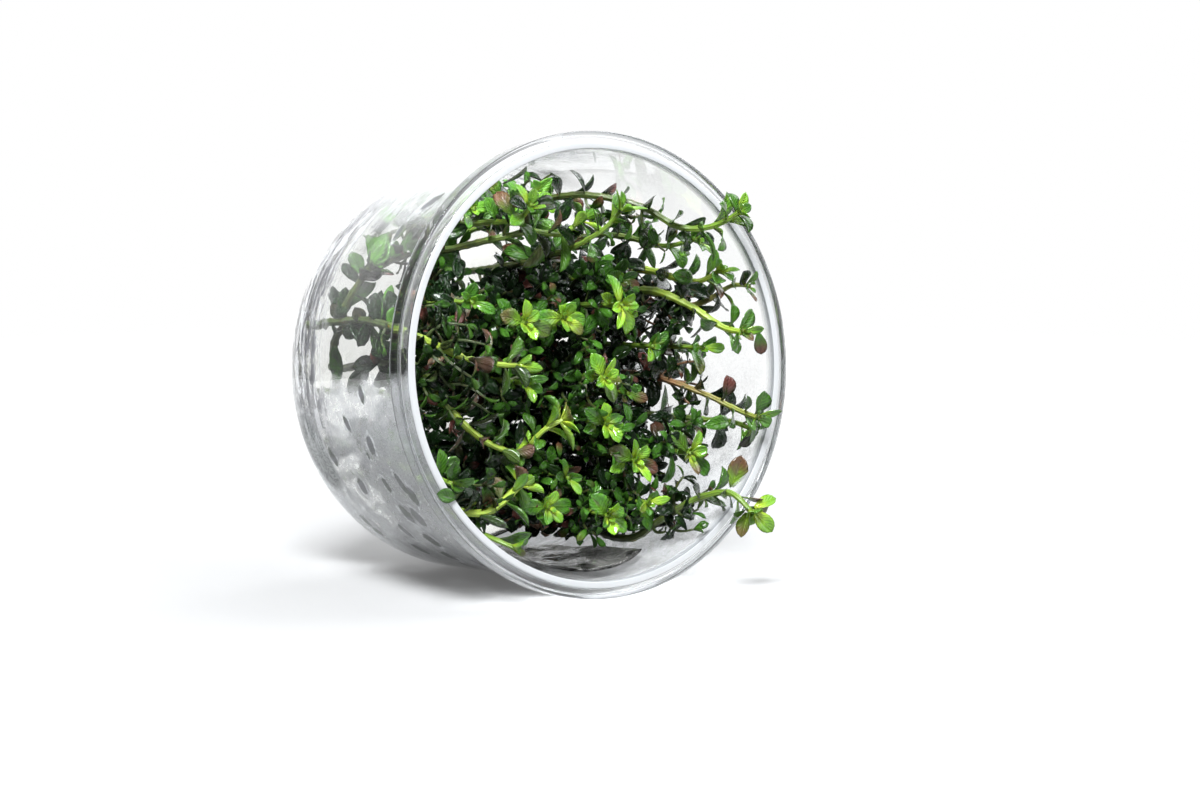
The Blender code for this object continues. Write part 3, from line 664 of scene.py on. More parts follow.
UPRIGHT_TIPS = (
    (-11, 10, 55), (-1.5, 10.5, 56), (11, 12.5, 60), (5.5, -3, 60), (-12, -3, 55), (13.5, -21.5, 58),
    (27, -21, 60), (15, -31, 60), (-8.5, -30, 56), (5.5, -33, 58), (-3, -24, 56), (6.5, -13, 58),
    (-18, 35, 48), (-2, 37, 49), (24, 3, 52), (18, -7, 50), (34, 2, 57), (18, 18, 50), (-21, 15, 50),
)
UPRIGHT_ROOT_SHARE = 0.82
UPRIGHT_MIDDLE_SHARE = 0.95
UPRIGHT_MIDDLE_HEIGHT = 0.55
UPRIGHT_ARCH = 1.0
UPRIGHT_RADIUS = 0.8
THICKET_SHOOTS = 8
THICKET_REACH = 33.0
THICKET_SPREAD = 1.1
THICKET_TIPS = (28.0, 42.0)
THICKET_RADIUS = 0.75
GOLDEN_ANGLE = 137.5


def spline(points, count):
    """Points on a cubic through the given ones, with slopes from their neighbours, evenly spaced by chord
    length."""
    points = np.asarray(points, float)
    knots = np.concatenate([[0.0], np.cumsum(np.linalg.norm(np.diff(points, axis=0), axis=1))])
    slopes = np.gradient(points, knots, axis=0)
    at = np.linspace(0.0, knots[-1], count)
    i = np.clip(np.searchsorted(knots, at, side="right") - 1, 0, len(knots) - 2)
    span = (knots[i + 1] - knots[i])[:, None]
    x = (at - knots[i])[:, None] / span
    start = (1 + 2 * x) * (1 - x) ** 2 * points[i] + x * (1 - x) ** 2 * span * slopes[i]
    end = x**2 * (3 - 2 * x) * points[i + 1] + x**2 * (x - 1) * span * slopes[i + 1]
    return start + end


def stem_routes():
    """Route and radius of every shoot: the leaders, the upright ones, then the low thicket in a spiral."""
    shoots = list(LEADERS)
    for across, up, out in UPRIGHT_TIPS:
        root = (across * UPRIGHT_ROOT_SHARE, up * UPRIGHT_ROOT_SHARE, ROOT_HEIGHT)
        middle = (across * UPRIGHT_MIDDLE_SHARE, up * UPRIGHT_MIDDLE_SHARE + UPRIGHT_ARCH,
                  out * UPRIGHT_MIDDLE_HEIGHT)
        shoots.append(((root, middle, (across, up, out)), UPRIGHT_RADIUS))
    for i in range(THICKET_SHOOTS):
        turn = math.radians(GOLDEN_ANGLE * i)
        reach = THICKET_REACH * math.sqrt((i + 0.5) / THICKET_SHOOTS)
        across = reach * math.cos(turn)
        up = reach * math.sin(turn)
        tip = THICKET_TIPS[0] + (THICKET_TIPS[1] - THICKET_TIPS[0]) * (1.0 - GOLDEN_ANGLE * i / 360.0 % 1.0)
        top = (across * THICKET_SPREAD, up * THICKET_SPREAD, tip)
        shoots.append((((across, up, ROOT_HEIGHT), top), THICKET_RADIUS))
    return shoots


def wall_radius(height):
    """Radius of the inner wall as the solids have it, straight down past the corner."""
    low = BODY_RADIUS - WALL
    share = (height - CORNER_RADIUS) / (CUP_HEIGHT - CORNER_RADIUS)
    return low + (MOUTH_RADIUS - low) * np.clip(share, 0.0, 1.0)


def over_slab(points):
    """Which points lie over the slab of gel or just beside it."""
    turn = np.degrees(np.arctan2(points[:, 1], points[:, 0]))
    beside = (turn > SLAB_ANGLES[0] - SLAB_SIDE_ROOM) & (turn < SLAB_ANGLES[1] + SLAB_SIDE_ROOM)
    return beside & (points[:, 2] < SLAB_HEIGHTS[1] + SLAB_END_ROOM)


def part_stems(stems):
    """Stems pushed apart round by round: the pushes from points that are too near, smoothed along the
    stem."""
    for _ in range(STEM_ROUNDS):
        for i, stem in enumerate(stems):
            others = np.concatenate(stems[:i] + stems[i + 1:])
            away = stem[:, None] - others[None]
            distance = np.linalg.norm(away, axis=2)
            push = np.clip(STEM_ROOM - distance, 0.0, None) / np.maximum(distance, MERGE)
            shift = PUSH_SHARE * (away * push[..., None]).sum(axis=1)
            shift[0, 2] = 0.0
            shift[1:-1] = 0.25 * shift[:-2] + 0.5 * shift[1:-1] + 0.25 * shift[2:]
            stem += shift
            radius = np.hypot(stem[:, 0], stem[:, 1])
            limit = wall_radius(stem[:, 2]) - STEM_WALL_ROOM
            limit[over_slab(stem)] -= SLAB_LIFT + SLAB_THICKNESS
            limit[stem[:, 2] > CUP_HEIGHT + PAST_RIM] = RIM_RADIUS
            stem[:, :2] *= np.minimum(1.0, limit / np.maximum(radius, MERGE))[:, None]
    return stems


def stem_frames(points):
    """Unit tangent, side and third axis at each point of a route, the side carried along without twisting."""
    tangents = np.gradient(points, axis=0)
    tangents /= np.linalg.norm(tangents, axis=1)[:, None]
    side = np.array([1.0, 0.0, 0.0])
    sides = []
    for tangent in tangents:
        side = side - tangent * (side @ tangent)
        side = side / np.linalg.norm(side)
        sides.append(side)
    sides = np.array(sides)
    return tangents, sides, np.cross(tangents, sides)


def leaf_seat(frame_there, radius, turn, from_tip, change):
    """Where a leaf sits on its stem and how it would grow: a tip leaf is smaller and stands more upright."""
    point, tangent, side, third = frame_there
    outward = math.cos(turn) * side + math.sin(turn) * third
    pitch = (TIP_PITCH if from_tip < 2 else LEAF_PITCH) + PITCH_CHANGE * change[0]
    size = min(1.0, TIP_LEAF_SHARE + LEAF_GROWTH * from_tip)
    length = LEAF_LENGTH * size * (1.0 + SIZE_CHANGE * change[1])
    half_width = 0.5 * LEAF_WIDTH * size * (1.0 + SIZE_CHANGE * change[2])
    curl = LEAF_CURL + CURL_CHANGE * change[3]
    base = point + outward * radius * SEAT_SHARE
    return base, outward, np.cross(tangent, outward), tangent, math.radians(pitch), length, half_width, curl


def shoot_seats(stem, radius, number):
    """Place along the stem, turn and two seats of each node, lowest first, each a quarter turn apart."""
    length = np.linalg.norm(np.diff(stem, axis=0), axis=1).sum()
    count = max(FEWEST_NODES, int((length - BARE_STEM) / NODE_STEP))
    fine = spline(stem, FINE_SAMPLES)
    tangents, sides, thirds = stem_frames(fine)
    rng = np.random.default_rng(SEED + number)
    roll = rng.uniform(0.0, 0.5 * math.pi)
    change = rng.uniform(-1.0, 1.0, (count, 2, 4))
    nodes = []
    for node in range(count):
        from_tip = count - 1 - node
        at = (length - TIP_BUD - NODE_STEP * from_tip) / length
        i = int(round(at * (FINE_SAMPLES - 1)))
        here = (fine[i], tangents[i], sides[i], thirds[i])
        turn = roll + 0.5 * math.pi * node
        one = leaf_seat(here, radius, turn, from_tip, change[node, 0])
        other = leaf_seat(here, radius, turn + math.pi, from_tip, change[node, 1])
        nodes.append((at, turn, (one, other)))
    return nodes


def pose_leaf(seat, scale, lift, swing):
    """A leaf on its seat, shortened by scale, lifted towards the tip and swung sideways, in degrees."""
    base, outward, beside, tangent, pitch, length, half_width, curl = seat
    pitch = min(max(pitch + math.radians(lift), LOWEST_PITCH), HIGHEST_PITCH)
    swing = math.radians(swing)
    flat = math.cos(swing) * outward + math.sin(swing) * beside
    direction = math.cos(pitch) * flat + math.sin(pitch) * tangent
    width_axis = math.cos(swing) * beside - math.sin(swing) * outward
    upper = math.cos(pitch) * tangent - math.sin(pitch) * flat
    return base, direction, width_axis, upper, length * scale, half_width * scale, curl


def checked_points(leaf):
    """Points of the leaf's plain surface that are kept clear: base plus length along, less curl, plus
    width."""
    base, direction, width_axis, upper, length, half_width, curl = leaf
    along = np.repeat(CHECKED_ALONG, len(CHECKED_BESIDE))[:, None]
    beside = np.tile(CHECKED_BESIDE, len(CHECKED_ALONG))[:, None]
    return base + length * (along * direction - curl * along**2 * upper) + beside * half_width * width_axis


def has_room(samples, taken, room):
    """Whether all samples keep their distance from the points already taken."""
    if not len(taken):
        return True
    near = np.abs(taken - samples.mean(axis=0)).max(axis=1) < NEARBY
    if not near.any():
        return True
    gap = np.linalg.norm(samples[:, None] - taken[near][None], axis=2)
    return gap.min() > room


def inside_cup(samples):
    """Whether all samples clear the cup's wall and rim and the gel."""
    height = samples[:, 2]
    radius = np.hypot(samples[:, 0], samples[:, 1])
    limit = wall_radius(height) - LEAF_WALL_ROOM
    limit[over_slab(samples)] -= GAP + SLAB_LIFT + SLAB_THICKNESS
    free = (radius < limit) | (height > CUP_HEIGHT + LEAF_WALL_ROOM)
    return bool(free.all() and (height > LOWEST_LEAF).all())


def place_leaf(seat, stems, leaves):
    """The leaf of a seat in the first pose clear of cup, stems and other leaves, with its checked points."""
    for tried in LEAF_TRIES:
        leaf = pose_leaf(seat, *tried)
        samples = checked_points(leaf)
        clear = has_room(samples, stems, LEAF_STEM_ROOM) and has_room(samples, leaves, LEAF_ROOM)
        if clear and inside_cup(samples):
            return leaf, samples
    return None, np.zeros((0, 3))


shoots = stem_routes()
stems = part_stems([spline(route, STEM_SAMPLES) for route, _ in shoots])
fine_stems = [spline(stem, FINE_SAMPLES) for stem in stems]
seats_of = [shoot_seats(stem, shoots[number][1], number) for number, stem in enumerate(stems)]


def solid_pair(from_tip):
    """Whether the solids have the leaf pair of this node."""
    return from_tip <= 1 or from_tip % NODES_PER_PAIR == 1


# Every node's leaves: first those of the solids, in the same order, then the pairs between them and the
# side sprigs that fill the clump, each where the cells of a fine grid are still free.
CELL = 1.0
GRID_LOW = np.array([-52.0, -52.0, 0.0])
GRID_SHAPE = (104, 104, 84)
NODE_SHARE = 0.45
SPRIG_SHARE = 0.55
FULL_SHARE = 0.6
LEAF_TRIED = 5
LOOSENESS = 22.0
OLD_LEAF = 0.9
SIDE_LEAST_AGE = 0.58
TIP_AGES = {
    1: 0.3, 2: 0.35, 3: 0.25, 4: 0.45, 5: 0.3, 6: 0.4, 7: 0.35, 8: 0.25, 9: 0.3, 10: 0.3, 11: 0.05, 12: 0.2,
    13: 0.3, 14: 0.4, 15: 0.3, 16: 0.35, 17: 0.3, 18: 0.62, 19: 0.1, 20: 0.05, 21: 0.0, 22: 0.05, 23: 0.25,
    26: 0.2, 29: 0.35, 31: 0.3, 32: 0.2,
}
BRIGHT_TIP = 0.14
PLAIN_TIP = 0.35
# The low shoots' tips are drawn old and dark, as painted shade.
LOW_TIP = 0.7
LAST_BRIGHT = 30
AGE_NODES = 4.5
# Where depth darkens leaves as painted shade, and where the upper wall lightens them as painted light.
DEEP_FROM = 56.0
DEEP_REACH = 17.0
LIT_UP = (17.0, 25.0)
SPRIG_FROM = 2
LEADER_SPRIG_FROM = 6
SPRIG_AGE = 2.5
SPARSE_UP = 22.0
SPARSE_DOWN = -14.0
OPEN_SIDE = -22.0
OPEN_BELOW = 47.0
OPEN_SHARE = 0.35
SIDE_LIT = 18
SPRIG_STEPS = 7
SPRIG_NODE = 2.4
SPRIG_LENGTHS = (4.5, 11.0)
SPRIG_LEAF = (3.4, 5.6)
SPRIG_RADIUS = 0.42
SPARSE_SIDE = 15.0
SPRIGS_A_NODE = 3
DENSE_SHARE = 0.85
GAPS = (((-28.8, 28.5, 64.0), (3.5, 29.9, 12.0), 5.0), ((-30.6, 12.9, 64.0), (-4.6, 12.9, 22.0), 2.2))
LOW_PLACES = (0.06, 0.1, 0.14, 0.18)


def grid_cells(points):
    """Indices of the grid cells that points lie in."""
    at = ((points - GRID_LOW) / CELL).astype(int)
    return tuple(np.clip(at, 0, np.array(GRID_SHAPE) - 1).T)


def tip_age(number):
    """How old a shoot's tip looks: 0 for the brightest rosettes, near 1 for the low shoots, darkened as
    painted shade.
    """
    if number >= len(shoots) - THICKET_SHOOTS:
        return LOW_TIP
    plain = BRIGHT_TIP if len(LEADERS) <= number < LAST_BRIGHT else PLAIN_TIP
    return TIP_AGES.get(number + 1, plain)


def age_and_painted_shade(number, from_tip, point):
    """Age of a leaf, which also carries painted shade and light: a power of its node's count below the tip,
    or its depth in the clump if that is more, as painted shade.

    Leaves near the upper wall get less of that shade all the way down, as painted light; the side-lit shoot
    gets no depth shade but a least age.
    """
    start = tip_age(number)
    grown = start + (OLD_LEAF - start) * min(1.0, from_tip / AGE_NODES) ** 0.7
    # Painted shade: the lower a leaf stands in the clump, the older and darker it is drawn.
    deep = min(1.0, max(0.0, (DEEP_FROM - point[2]) / DEEP_REACH))
    # Painted light: near the upper wall the depth shade is halved and the leaf drawn younger and lighter.
    lit = float(eased(point[1], *LIT_UP))
    deep = deep * (1.0 - 0.5 * lit)
    # The side-lit shoot gets none of the painted depth shade.
    if number + 1 == SIDE_LIT:
        return max(SIDE_LEAST_AGE, grown)
    return max(grown * (0.85 - 0.18 * lit), deep)


def leaf_record(leaf, age, rng):
    """A leaf with its looks: age, tone, blush, how it is cupped and waved, and how broad it is near its
    foot."""
    return (*leaf, age, rng.uniform(), rng.uniform(), rng.uniform(-1.0, 1.0), rng.uniform(-1.0, 1.0),
            rng.uniform(0.0, 1.0))


def rolled(leaf, roll):
    """The leaf turned about its own length."""
    base, direction, width_axis, upper, length, half_width, curl = leaf
    wide = math.cos(roll) * width_axis + math.sin(roll) * upper
    up = math.cos(roll) * upper - math.sin(roll) * width_axis
    return base, direction, wide, up, length, half_width, curl


def off_gap(points):
    """Whether points keep clear of the open lines through the clump: their distance from each line's
    nearest point."""
    for start, end, size in GAPS:
        line = np.subtract(end, start)
        at = np.clip((points - start) @ line / (line @ line), 0.0, 1.0)[:, None]
        if (np.linalg.norm(points - start - at * line, axis=1) < size).any():
            return False
    return True


def free_leaf(seat, rng, filled, share):
    """The leaf of a seat in the first of a few random poses whose points meet few taken cells, or None."""
    for _ in range(LEAF_TRIED):
        lift, swing, roll = rng.normal(0.0, 1.0, 3) * LOOSENESS
        leaf = rolled(pose_leaf(seat, rng.uniform(0.8, 1.12), lift, swing), math.radians(roll))
        leaf = (*leaf[:6], leaf[6] + abs(rng.normal(0.0, 0.22)))
        samples = checked_points(leaf)
        if filled[grid_cells(samples)].mean() <= share and inside_cup(samples) and off_gap(samples):
            filled[grid_cells(samples)] = True
            return leaf
    return None


def solid_leaves(grown, looks):
    """Adds the leaves that the solids have to each shoot's list and gives all their checked points."""
    taken = np.zeros((0, 3))
    for number, nodes in enumerate(seats_of):
        others = np.concatenate(fine_stems[:number] + fine_stems[number + 1:])
        for node, (_, _, seats) in enumerate(nodes):
            from_tip = len(nodes) - 1 - node
            if not solid_pair(from_tip):
                continue
            for seat in seats:
                leaf, samples = place_leaf(seat, others, taken)
                taken = np.concatenate([taken, samples])
                if leaf is not None:
                    age = age_and_painted_shade(number, from_tip, seat[0])
                    grown[number].append(leaf_record(leaf, age, looks[number]))
    return taken


def in_open(point):
    """Whether a point lies in the open room along the left wall, where the shoots stand apart."""
    return point[0] < OPEN_SIDE and point[1] > -6.0 and point[2] < OPEN_BELOW


def between_leaves(grown, looks, filled):
    """Adds the leaf pairs of the nodes between those of the solids."""
    for number, nodes in enumerate(seats_of):
        for node, (_, _, seats) in enumerate(nodes):
            from_tip = len(nodes) - 1 - node
            if solid_pair(from_tip):
                continue
            for seat in seats:
                if in_open(seat[0]) and looks[number].uniform() < OPEN_SHARE:
                    continue
                leaf = free_leaf(seat, looks[number], filled, NODE_SHARE)
                if leaf is not None:
                    age = age_and_painted_shade(number, from_tip, seat[0])
                    grown[number].append(leaf_record(leaf, age, looks[number]))


def sprig_route(base, outward, tangent, length):
    """Points of a side sprig: a quadratic curve that leaves outward and bends along the stem."""
    t = np.linspace(0.0, 1.0, SPRIG_STEPS)[:, None]
    turn = base + outward * length * 0.55
    tip = base + outward * length * 0.72 + tangent * length * 0.7
    return (1 - t) ** 2 * base + 2 * t * (1 - t) * turn + t**2 * tip


def sprig_leaves(route, number, rng, filled):
    """Leaf records of a sprig: pairs a quarter turn apart from its tip down, largest in the middle."""
    tangents, sides, thirds = stem_frames(route)
    length = np.linalg.norm(np.diff(route, axis=0), axis=1).sum()
    count = max(2, int(length / SPRIG_NODE))
    roll = rng.uniform(0.0, math.pi)
    made = []
    for from_tip in range(count):
        at = (1.0 - (from_tip * SPRIG_NODE) / length) * (SPRIG_STEPS - 1)
        i = int(max(0, min(SPRIG_STEPS - 1, round(at))))
        point = route[i] if i == round(at) else route[0]
        for half in range(2):
            turn = roll + 0.5 * math.pi * from_tip + math.pi * half
            outward = math.cos(turn) * sides[i] + math.sin(turn) * thirds[i]
            size = rng.uniform(*SPRIG_LEAF) * (0.7 if from_tip == 0 else 1.0)
            base = point + outward * SPRIG_RADIUS * 0.6
            pitch = math.radians(48.0 if from_tip == 0 else 22.0)
            seat = (base, outward, np.cross(tangents[i], outward), tangents[i], pitch, size,
                    size * rng.uniform(0.22, 0.3), 0.15)
            leaf = free_leaf(seat, rng, filled, SPRIG_SHARE)
            if leaf is not None:
                age = age_and_painted_shade(number, SPRIG_AGE + from_tip, point)
                made.append(leaf_record(leaf, age, rng))
    return made


def grow_sprigs(looks, filled):
    """Routes and leaf records of the side sprigs on the lower nodes of each shoot, fewer at the sparse
    side."""
    routes = [[] for _ in shoots]
    deep = [[] for _ in shoots]
    for number, nodes in enumerate(seats_of):
        rng = looks[number]
        tangents, sides, thirds = stem_frames(fine_stems[number])
        left_bare = LEADER_SPRIG_FROM if number < len(LEADERS) else SPRIG_FROM
        near_middle = OPEN_SIDE < fine_stems[number][20][0] < SPARSE_SIDE
        places = [(at, 2.4 * at) for at in LOW_PLACES] if near_middle else []
        places += [(at, turn) for at, turn, _ in nodes[:max(1, len(nodes) - left_bare)]]
        for at, turn in places * SPRIGS_A_NODE:
            i = int(round(at * (FINE_SAMPLES - 1)))
            angle = turn + rng.uniform(0.0, 2 * math.pi)
            outward = math.cos(angle) * sides[i] + math.sin(angle) * thirds[i]
            length = rng.uniform(*SPRIG_LENGTHS)
            point = fine_stems[number][i]
            route = sprig_route(point, outward, tangents[i], length)
            beside = point[0] > SPARSE_SIDE and point[1] > SPARSE_DOWN
            sparse = (beside or point[1] > SPARSE_UP or in_open(route[-1])) and rng.uniform() < DENSE_SHARE
            crowded = filled[grid_cells(route[2:])].mean() > FULL_SHARE
            if sparse or crowded or not off_gap(route) or not inside_cup(route):
                continue
            leaves = sprig_leaves(route, number, rng, filled)
            if len(leaves) > 2:
                routes[number].append(route)
                deep[number].extend(leaves)
    return routes, deep


# A rosette closes each shoot: leaf pairs that get smaller and steeper towards a tight bud.
ROSETTE_BRIGHT = ((0.95, 1.15, 14.0), (0.58, 0.8, 46.0), (0.3, 0.4, 70.0))
ROSETTE_AGEING = 0.13
ROSETTE_LEADER = ((0.8, 1.05, 24.0), (0.52, 0.75, 50.0), (0.28, 0.38, 70.0))
ROSETTE_PLAIN = ((0.6, 0.75, 46.0), (0.32, 0.45, 68.0))


def rosette(number):
    """Leaf records of a shoot's tip, standing on its last two millimetres."""
    rng = np.random.default_rng(400 + number)
    stem = fine_stems[number]
    tangents, sides, thirds = stem_frames(stem)
    bright = tip_age(number) <= 0.15
    pairs = ROSETTE_BRIGHT if bright else ROSETTE_LEADER if number < len(LEADERS) else ROSETTE_PLAIN
    turn = seats_of[number][-1][1] + 0.25 * math.pi
    made = []
    for step, (share, wide, pitch) in enumerate(pairs):
        for half in range(2):
            angle = turn + 0.42 * math.pi * step + math.pi * half
            outward = math.cos(angle) * sides[-1] + math.sin(angle) * thirds[-1]
            length = LEAF_LENGTH * share * rng.uniform(0.85, 1.15)
            base = stem[-1] + 0.3 * outward - tangents[-1] * (1.4 - 0.55 * step)
            seat = (base, outward, np.cross(tangents[-1], outward), tangents[-1], math.radians(pitch), length,
                    0.5 * LEAF_WIDTH * wide * rng.uniform(0.9, 1.1), rng.uniform(0.05, 0.3))
            leaf = pose_leaf(seat, 1.0, rng.uniform(-10, 10), rng.uniform(-14, 14))
            leaf = rolled(leaf, rng.uniform(-0.2, 0.2))
            if inside_cup(checked_points(leaf)):
                age = tip_age(number) * (0.6 + 0.4 / (1 + step)) + (ROSETTE_AGEING * (len(pairs) - 1 - step))
                made.append(leaf_record(leaf, age, rng))
    return made


NEAR_LEAF = (
    8, np.array([-1.0, -0.55, 0.0, 0.55, 1.0, 0.55, 0.0, -0.55]), np.array([0, 1, 1, 1, 0, -1, -1, -1.0]),
)
DEEP_LEAF = (5, np.array([-1.0, -0.45, 0.45, 1.0, 0.45, -0.45]), np.array([0, 1, 1, 0, -1, -1.0]))
PETIOLE = 0.2
ARC_PER_CURL = 2.6


def blade_outline(along, breadth):
    """Half-width share from powers of the two ends: from widest near the tip to widest in the middle."""
    rise = 1.25 - 0.5 * breadth
    fall = 0.74
    peak = rise / (rise + fall)
    blade = along**rise * np.clip(1.0 - along, 0.0, 1.0) ** fall / (peak**rise * (1.0 - peak) ** fall)
    return np.maximum(blade, PETIOLE * (1.0 - along) ** 1.5 + 0.05)


def blade_points(records, rows, ring_across, ring_side):
    """Points of all blades as an array (leaf, row, ring, 3).

    Each is a flattened tube: the rib is an arc that bends down by an angle of its curl, and the ring spreads
    along the width axis by the outline, with its sides cupped, its edges waved and its rib sunk.
    """
    column = [np.array([record[k] for record in records]) for k in range(13)]
    base, direction, width_axis, upper = (part[:, None, None, :] for part in column[:4])
    length, half_width, curl = (part[:, None, None, None] for part in column[4:7])
    cup_change, wave_change, breadth = (part[:, None, None, None] for part in column[10:13])
    along = (np.linspace(0.0, 1.0, rows) ** 0.85)[None, :, None, None]
    across = ring_across[None, None, :, None]
    side = ring_side[None, None, :, None]
    bend = np.maximum(ARC_PER_CURL * curl, 0.02)
    angle = bend * along
    rib = length * (np.sin(angle) / bend * direction - (1.0 - np.cos(angle)) / bend * upper)
    normal = np.cos(angle) * upper + np.sin(angle) * direction
    wide = half_width * blade_outline(along, breadth)
    rise = (0.38 + 0.3 * cup_change) * across**2 * wide
    rise = rise - 0.13 * wide * np.exp(-((across / 0.3) ** 2)) * (side > 0)
    rise = rise + 0.13 * wide * across * np.sin(7.0 * along + 3.0 * wave_change) * wave_change
    rise = rise + 0.35 * wave_change * along * across * wide
    rise = rise + 0.5 * LEAF_THICKNESS * side * (1.0 - 0.5 * along)
    return base + rib + width_axis * across * wide + normal * rise


def leaf_mesh(records, rows, ring_across, ring_side):
    """Points, side faces and end caps of all leaves of a shoot, with their map and growth values."""
    count = len(records)
    ring = len(ring_across)
    each = rows * ring
    points = blade_points(records, rows, ring_across, ring_side).reshape(-1, 3)
    start = (np.arange(count) * each)[:, None, None]
    quads = (ring_quads(rows, ring)[None] + start).reshape(-1, 4)
    caps = (ring_caps(rows, ring)[None] + start).reshape(-1, ring)
    along = np.repeat(np.linspace(0.0, 1.0, rows) ** 0.85, ring)
    across = np.tile(0.5 + 0.5 * ring_across, rows)
    under = np.tile(np.where(ring_side < 0, 1.0, 0.0), rows)
    looks = np.array([record[7:10] for record in records])
    growth = np.concatenate([
        np.repeat(looks, each, axis=0), np.tile(under, count)[:, None]], axis=1)
    chart = np.tile(np.stack([along, across], axis=1), (count, 1))
    return points, quads, caps, chart, growth


SPRIG_SIDES = 6


def tube(route, radius, steps):
    """Points, side faces and end caps of a tube: rings of the given radii square to a route."""
    _, sides, thirds = stem_frames(route)
    turn = np.linspace(0.0, 2 * math.pi, steps, endpoint=False)[None, :, None]
    spoke = np.cos(turn) * sides[:, None] + np.sin(turn) * thirds[:, None]
    ringed = route[:, None] + radius[..., None] * spoke
    return ringed.reshape(-1, 3), ring_quads(len(route), steps), ring_caps(len(route), steps)


STEM_RINGS = 90
STEM_SIDES = 8
NODE_SWELLING = 0.22
NODE_REACH = 0.5
STEM_AGEING = 36.0
OLDEST_STEM = 1.5


def stem_mesh(number):
    """A stem tube: rings square to the route, swollen at each node and tapered to the tip, its foot in the
    gel."""
    radius = shoots[number][1]
    foot = [[*stems[number][0, :2], GEL_TOP - ROOT_DEPTH]]
    route = spline(np.concatenate([foot, stems[number]]), STEM_RINGS)
    at = np.linspace(0.0, 1.0, STEM_RINGS)
    length = np.linalg.norm(np.diff(route, axis=0), axis=1).sum()
    taper = 1.0 - (1.0 - TIP_TAPER) * at**3
    from_end = length * (1.0 - at) - TIP_BUD
    from_node = (from_end + 0.5 * NODE_STEP) % NODE_STEP - 0.5 * NODE_STEP
    swelling = 1.0 + NODE_SWELLING * np.exp(-(from_node / NODE_REACH) ** 2)
    thick = (radius * taper * swelling * (0.92 + 0.06 * np.sin(9.0 * at + number)))[:, None]
    turn = np.linspace(0.0, 2 * math.pi, STEM_SIDES, endpoint=False)[None, :]
    squared = 1.0 + 0.07 * np.cos(4.0 * (turn - seats_of[number][0][1]))
    points, quads, caps = tube(route, thick * squared, STEM_SIDES)
    chart = np.stack(np.broadcast_arrays(length * at[:, None] / NODE_STEP, turn / (2 * math.pi)), axis=-1)
    growth = np.zeros((STEM_RINGS * STEM_SIDES, 4))
    start = 0.8 if number + 1 == SIDE_LIT else 0.0
    age = np.clip(start + length * (1.0 - at) / STEM_AGEING, 0.0, OLDEST_STEM)
    growth[:, 0] = np.repeat(age, STEM_SIDES)
    growth[:, 1] = (number * 0.618) % 1.0
    return points, quads, caps, chart.reshape(-1, 2), growth


LEAF_THROUGH = 0.15


def leaf_finish(name, coat, young, grown, old):
    """Glossy leaf: colour by age and tone, whose age carries painted depth shade and light, a yellower foot
    and rib, a lighter margin as a painted rim light, a red-brown blush from the tip, a duller underside, and
    some light let through."""
    finish = Finish(name, IOR=1.4, Coat_Weight=coat, Coat_Roughness=0.07, Specular_IOR_Level=0.3 * coat)
    age, tone, blush = finish.node("SeparateColor", {0: finish.value("growth", "Color")}).outputs
    under = finish.value("growth", "Alpha")
    chart = finish.node("SeparateXYZ", {0: finish.node("UVMap", uv_map="leaf").outputs[0]})
    along, across = chart.outputs[:2]
    off_rib = finish.maths("ABSOLUTE", finish.minus(across, 0.5))
    place = finish.place()
    mottle = finish.noise(place, 900.0, 2.0)
    ageing = finish.plus(age, finish.times(finish.minus(tone, 0.5), 0.3))
    ageing = finish.plus(ageing, finish.times(finish.minus(mottle, 0.5), 0.3), clamp=True)
    ramp = finish.node("ValToRGB", {0: ageing})
    stops = ramp.color_ramp.elements
    stops[0].color = (*young, 1.0)
    stops[1].color = (*old, 1.0)
    stops[1].position = 0.7
    stops.new(0.36).color = (*grown, 1.0)
    colour = ramp.outputs[0]
    fresh = finish.range(age, 0.0, 0.5, 1.0, 0.0)
    foot = finish.times(finish.range(along, 0.1, 0.7, 1.0, 0.0), fresh)
    colour = finish.mixed(finish.times(foot, 0.85), colour, (0.55, 0.66, 0.06))
    rib = finish.range(off_rib, 0.0, 0.07, 1.0, 0.0)
    # The rib is lighter in its own colour; the lighter margin is a painted rim light.
    for line, share in ((rib, 0.5), (finish.range(off_rib, 0.36, 0.5), 0.35)):
        colour = finish.mixed(finish.times(line, share), colour, finish.tinted(colour, (2.0, 1.7, 1.6)))
    from_tip = finish.range(finish.plus(along, finish.times(mottle, 0.25)), 0.3, 0.95)
    reddened = finish.times(finish.range(blush, 0.88, 0.97), from_tip)
    colour = finish.mixed(finish.times(reddened, 0.85), colour, (0.13, 0.04, 0.035))
    dull = finish.mixed(finish.range(blush, 0.72, 0.86, 0.12, 0.7), colour, (0.13, 0.085, 0.06))
    colour = finish.mixed(finish.times(under, finish.range(age, 0.1, 0.5, 0.2, 0.8)), colour, dull)
    veins = finish.maths("SINE", finish.times(finish.minus(along, finish.times(off_rib, 0.7)), 44.0))
    cells = finish.node("TexVoronoi", {"Vector": place, "Scale": 3200.0}).outputs[0]
    relief = finish.plus(finish.times(veins, 0.3), finish.times(cells, 0.2))
    normal = finish.bump(finish.minus(relief, finish.times(rib, 1.4)), 0.00013)
    finish.set(Base_Color=colour, Normal=normal, Roughness=finish.range(mottle, 0.3, 0.75, 0.22, 0.38))
    through = {"Color": finish.tinted(colour, (1.35, 1.5, 0.8)), "Normal": normal}
    finish.blend_with(LEAF_THROUGH, finish.node("BsdfTranslucent", through))
    return finish.material


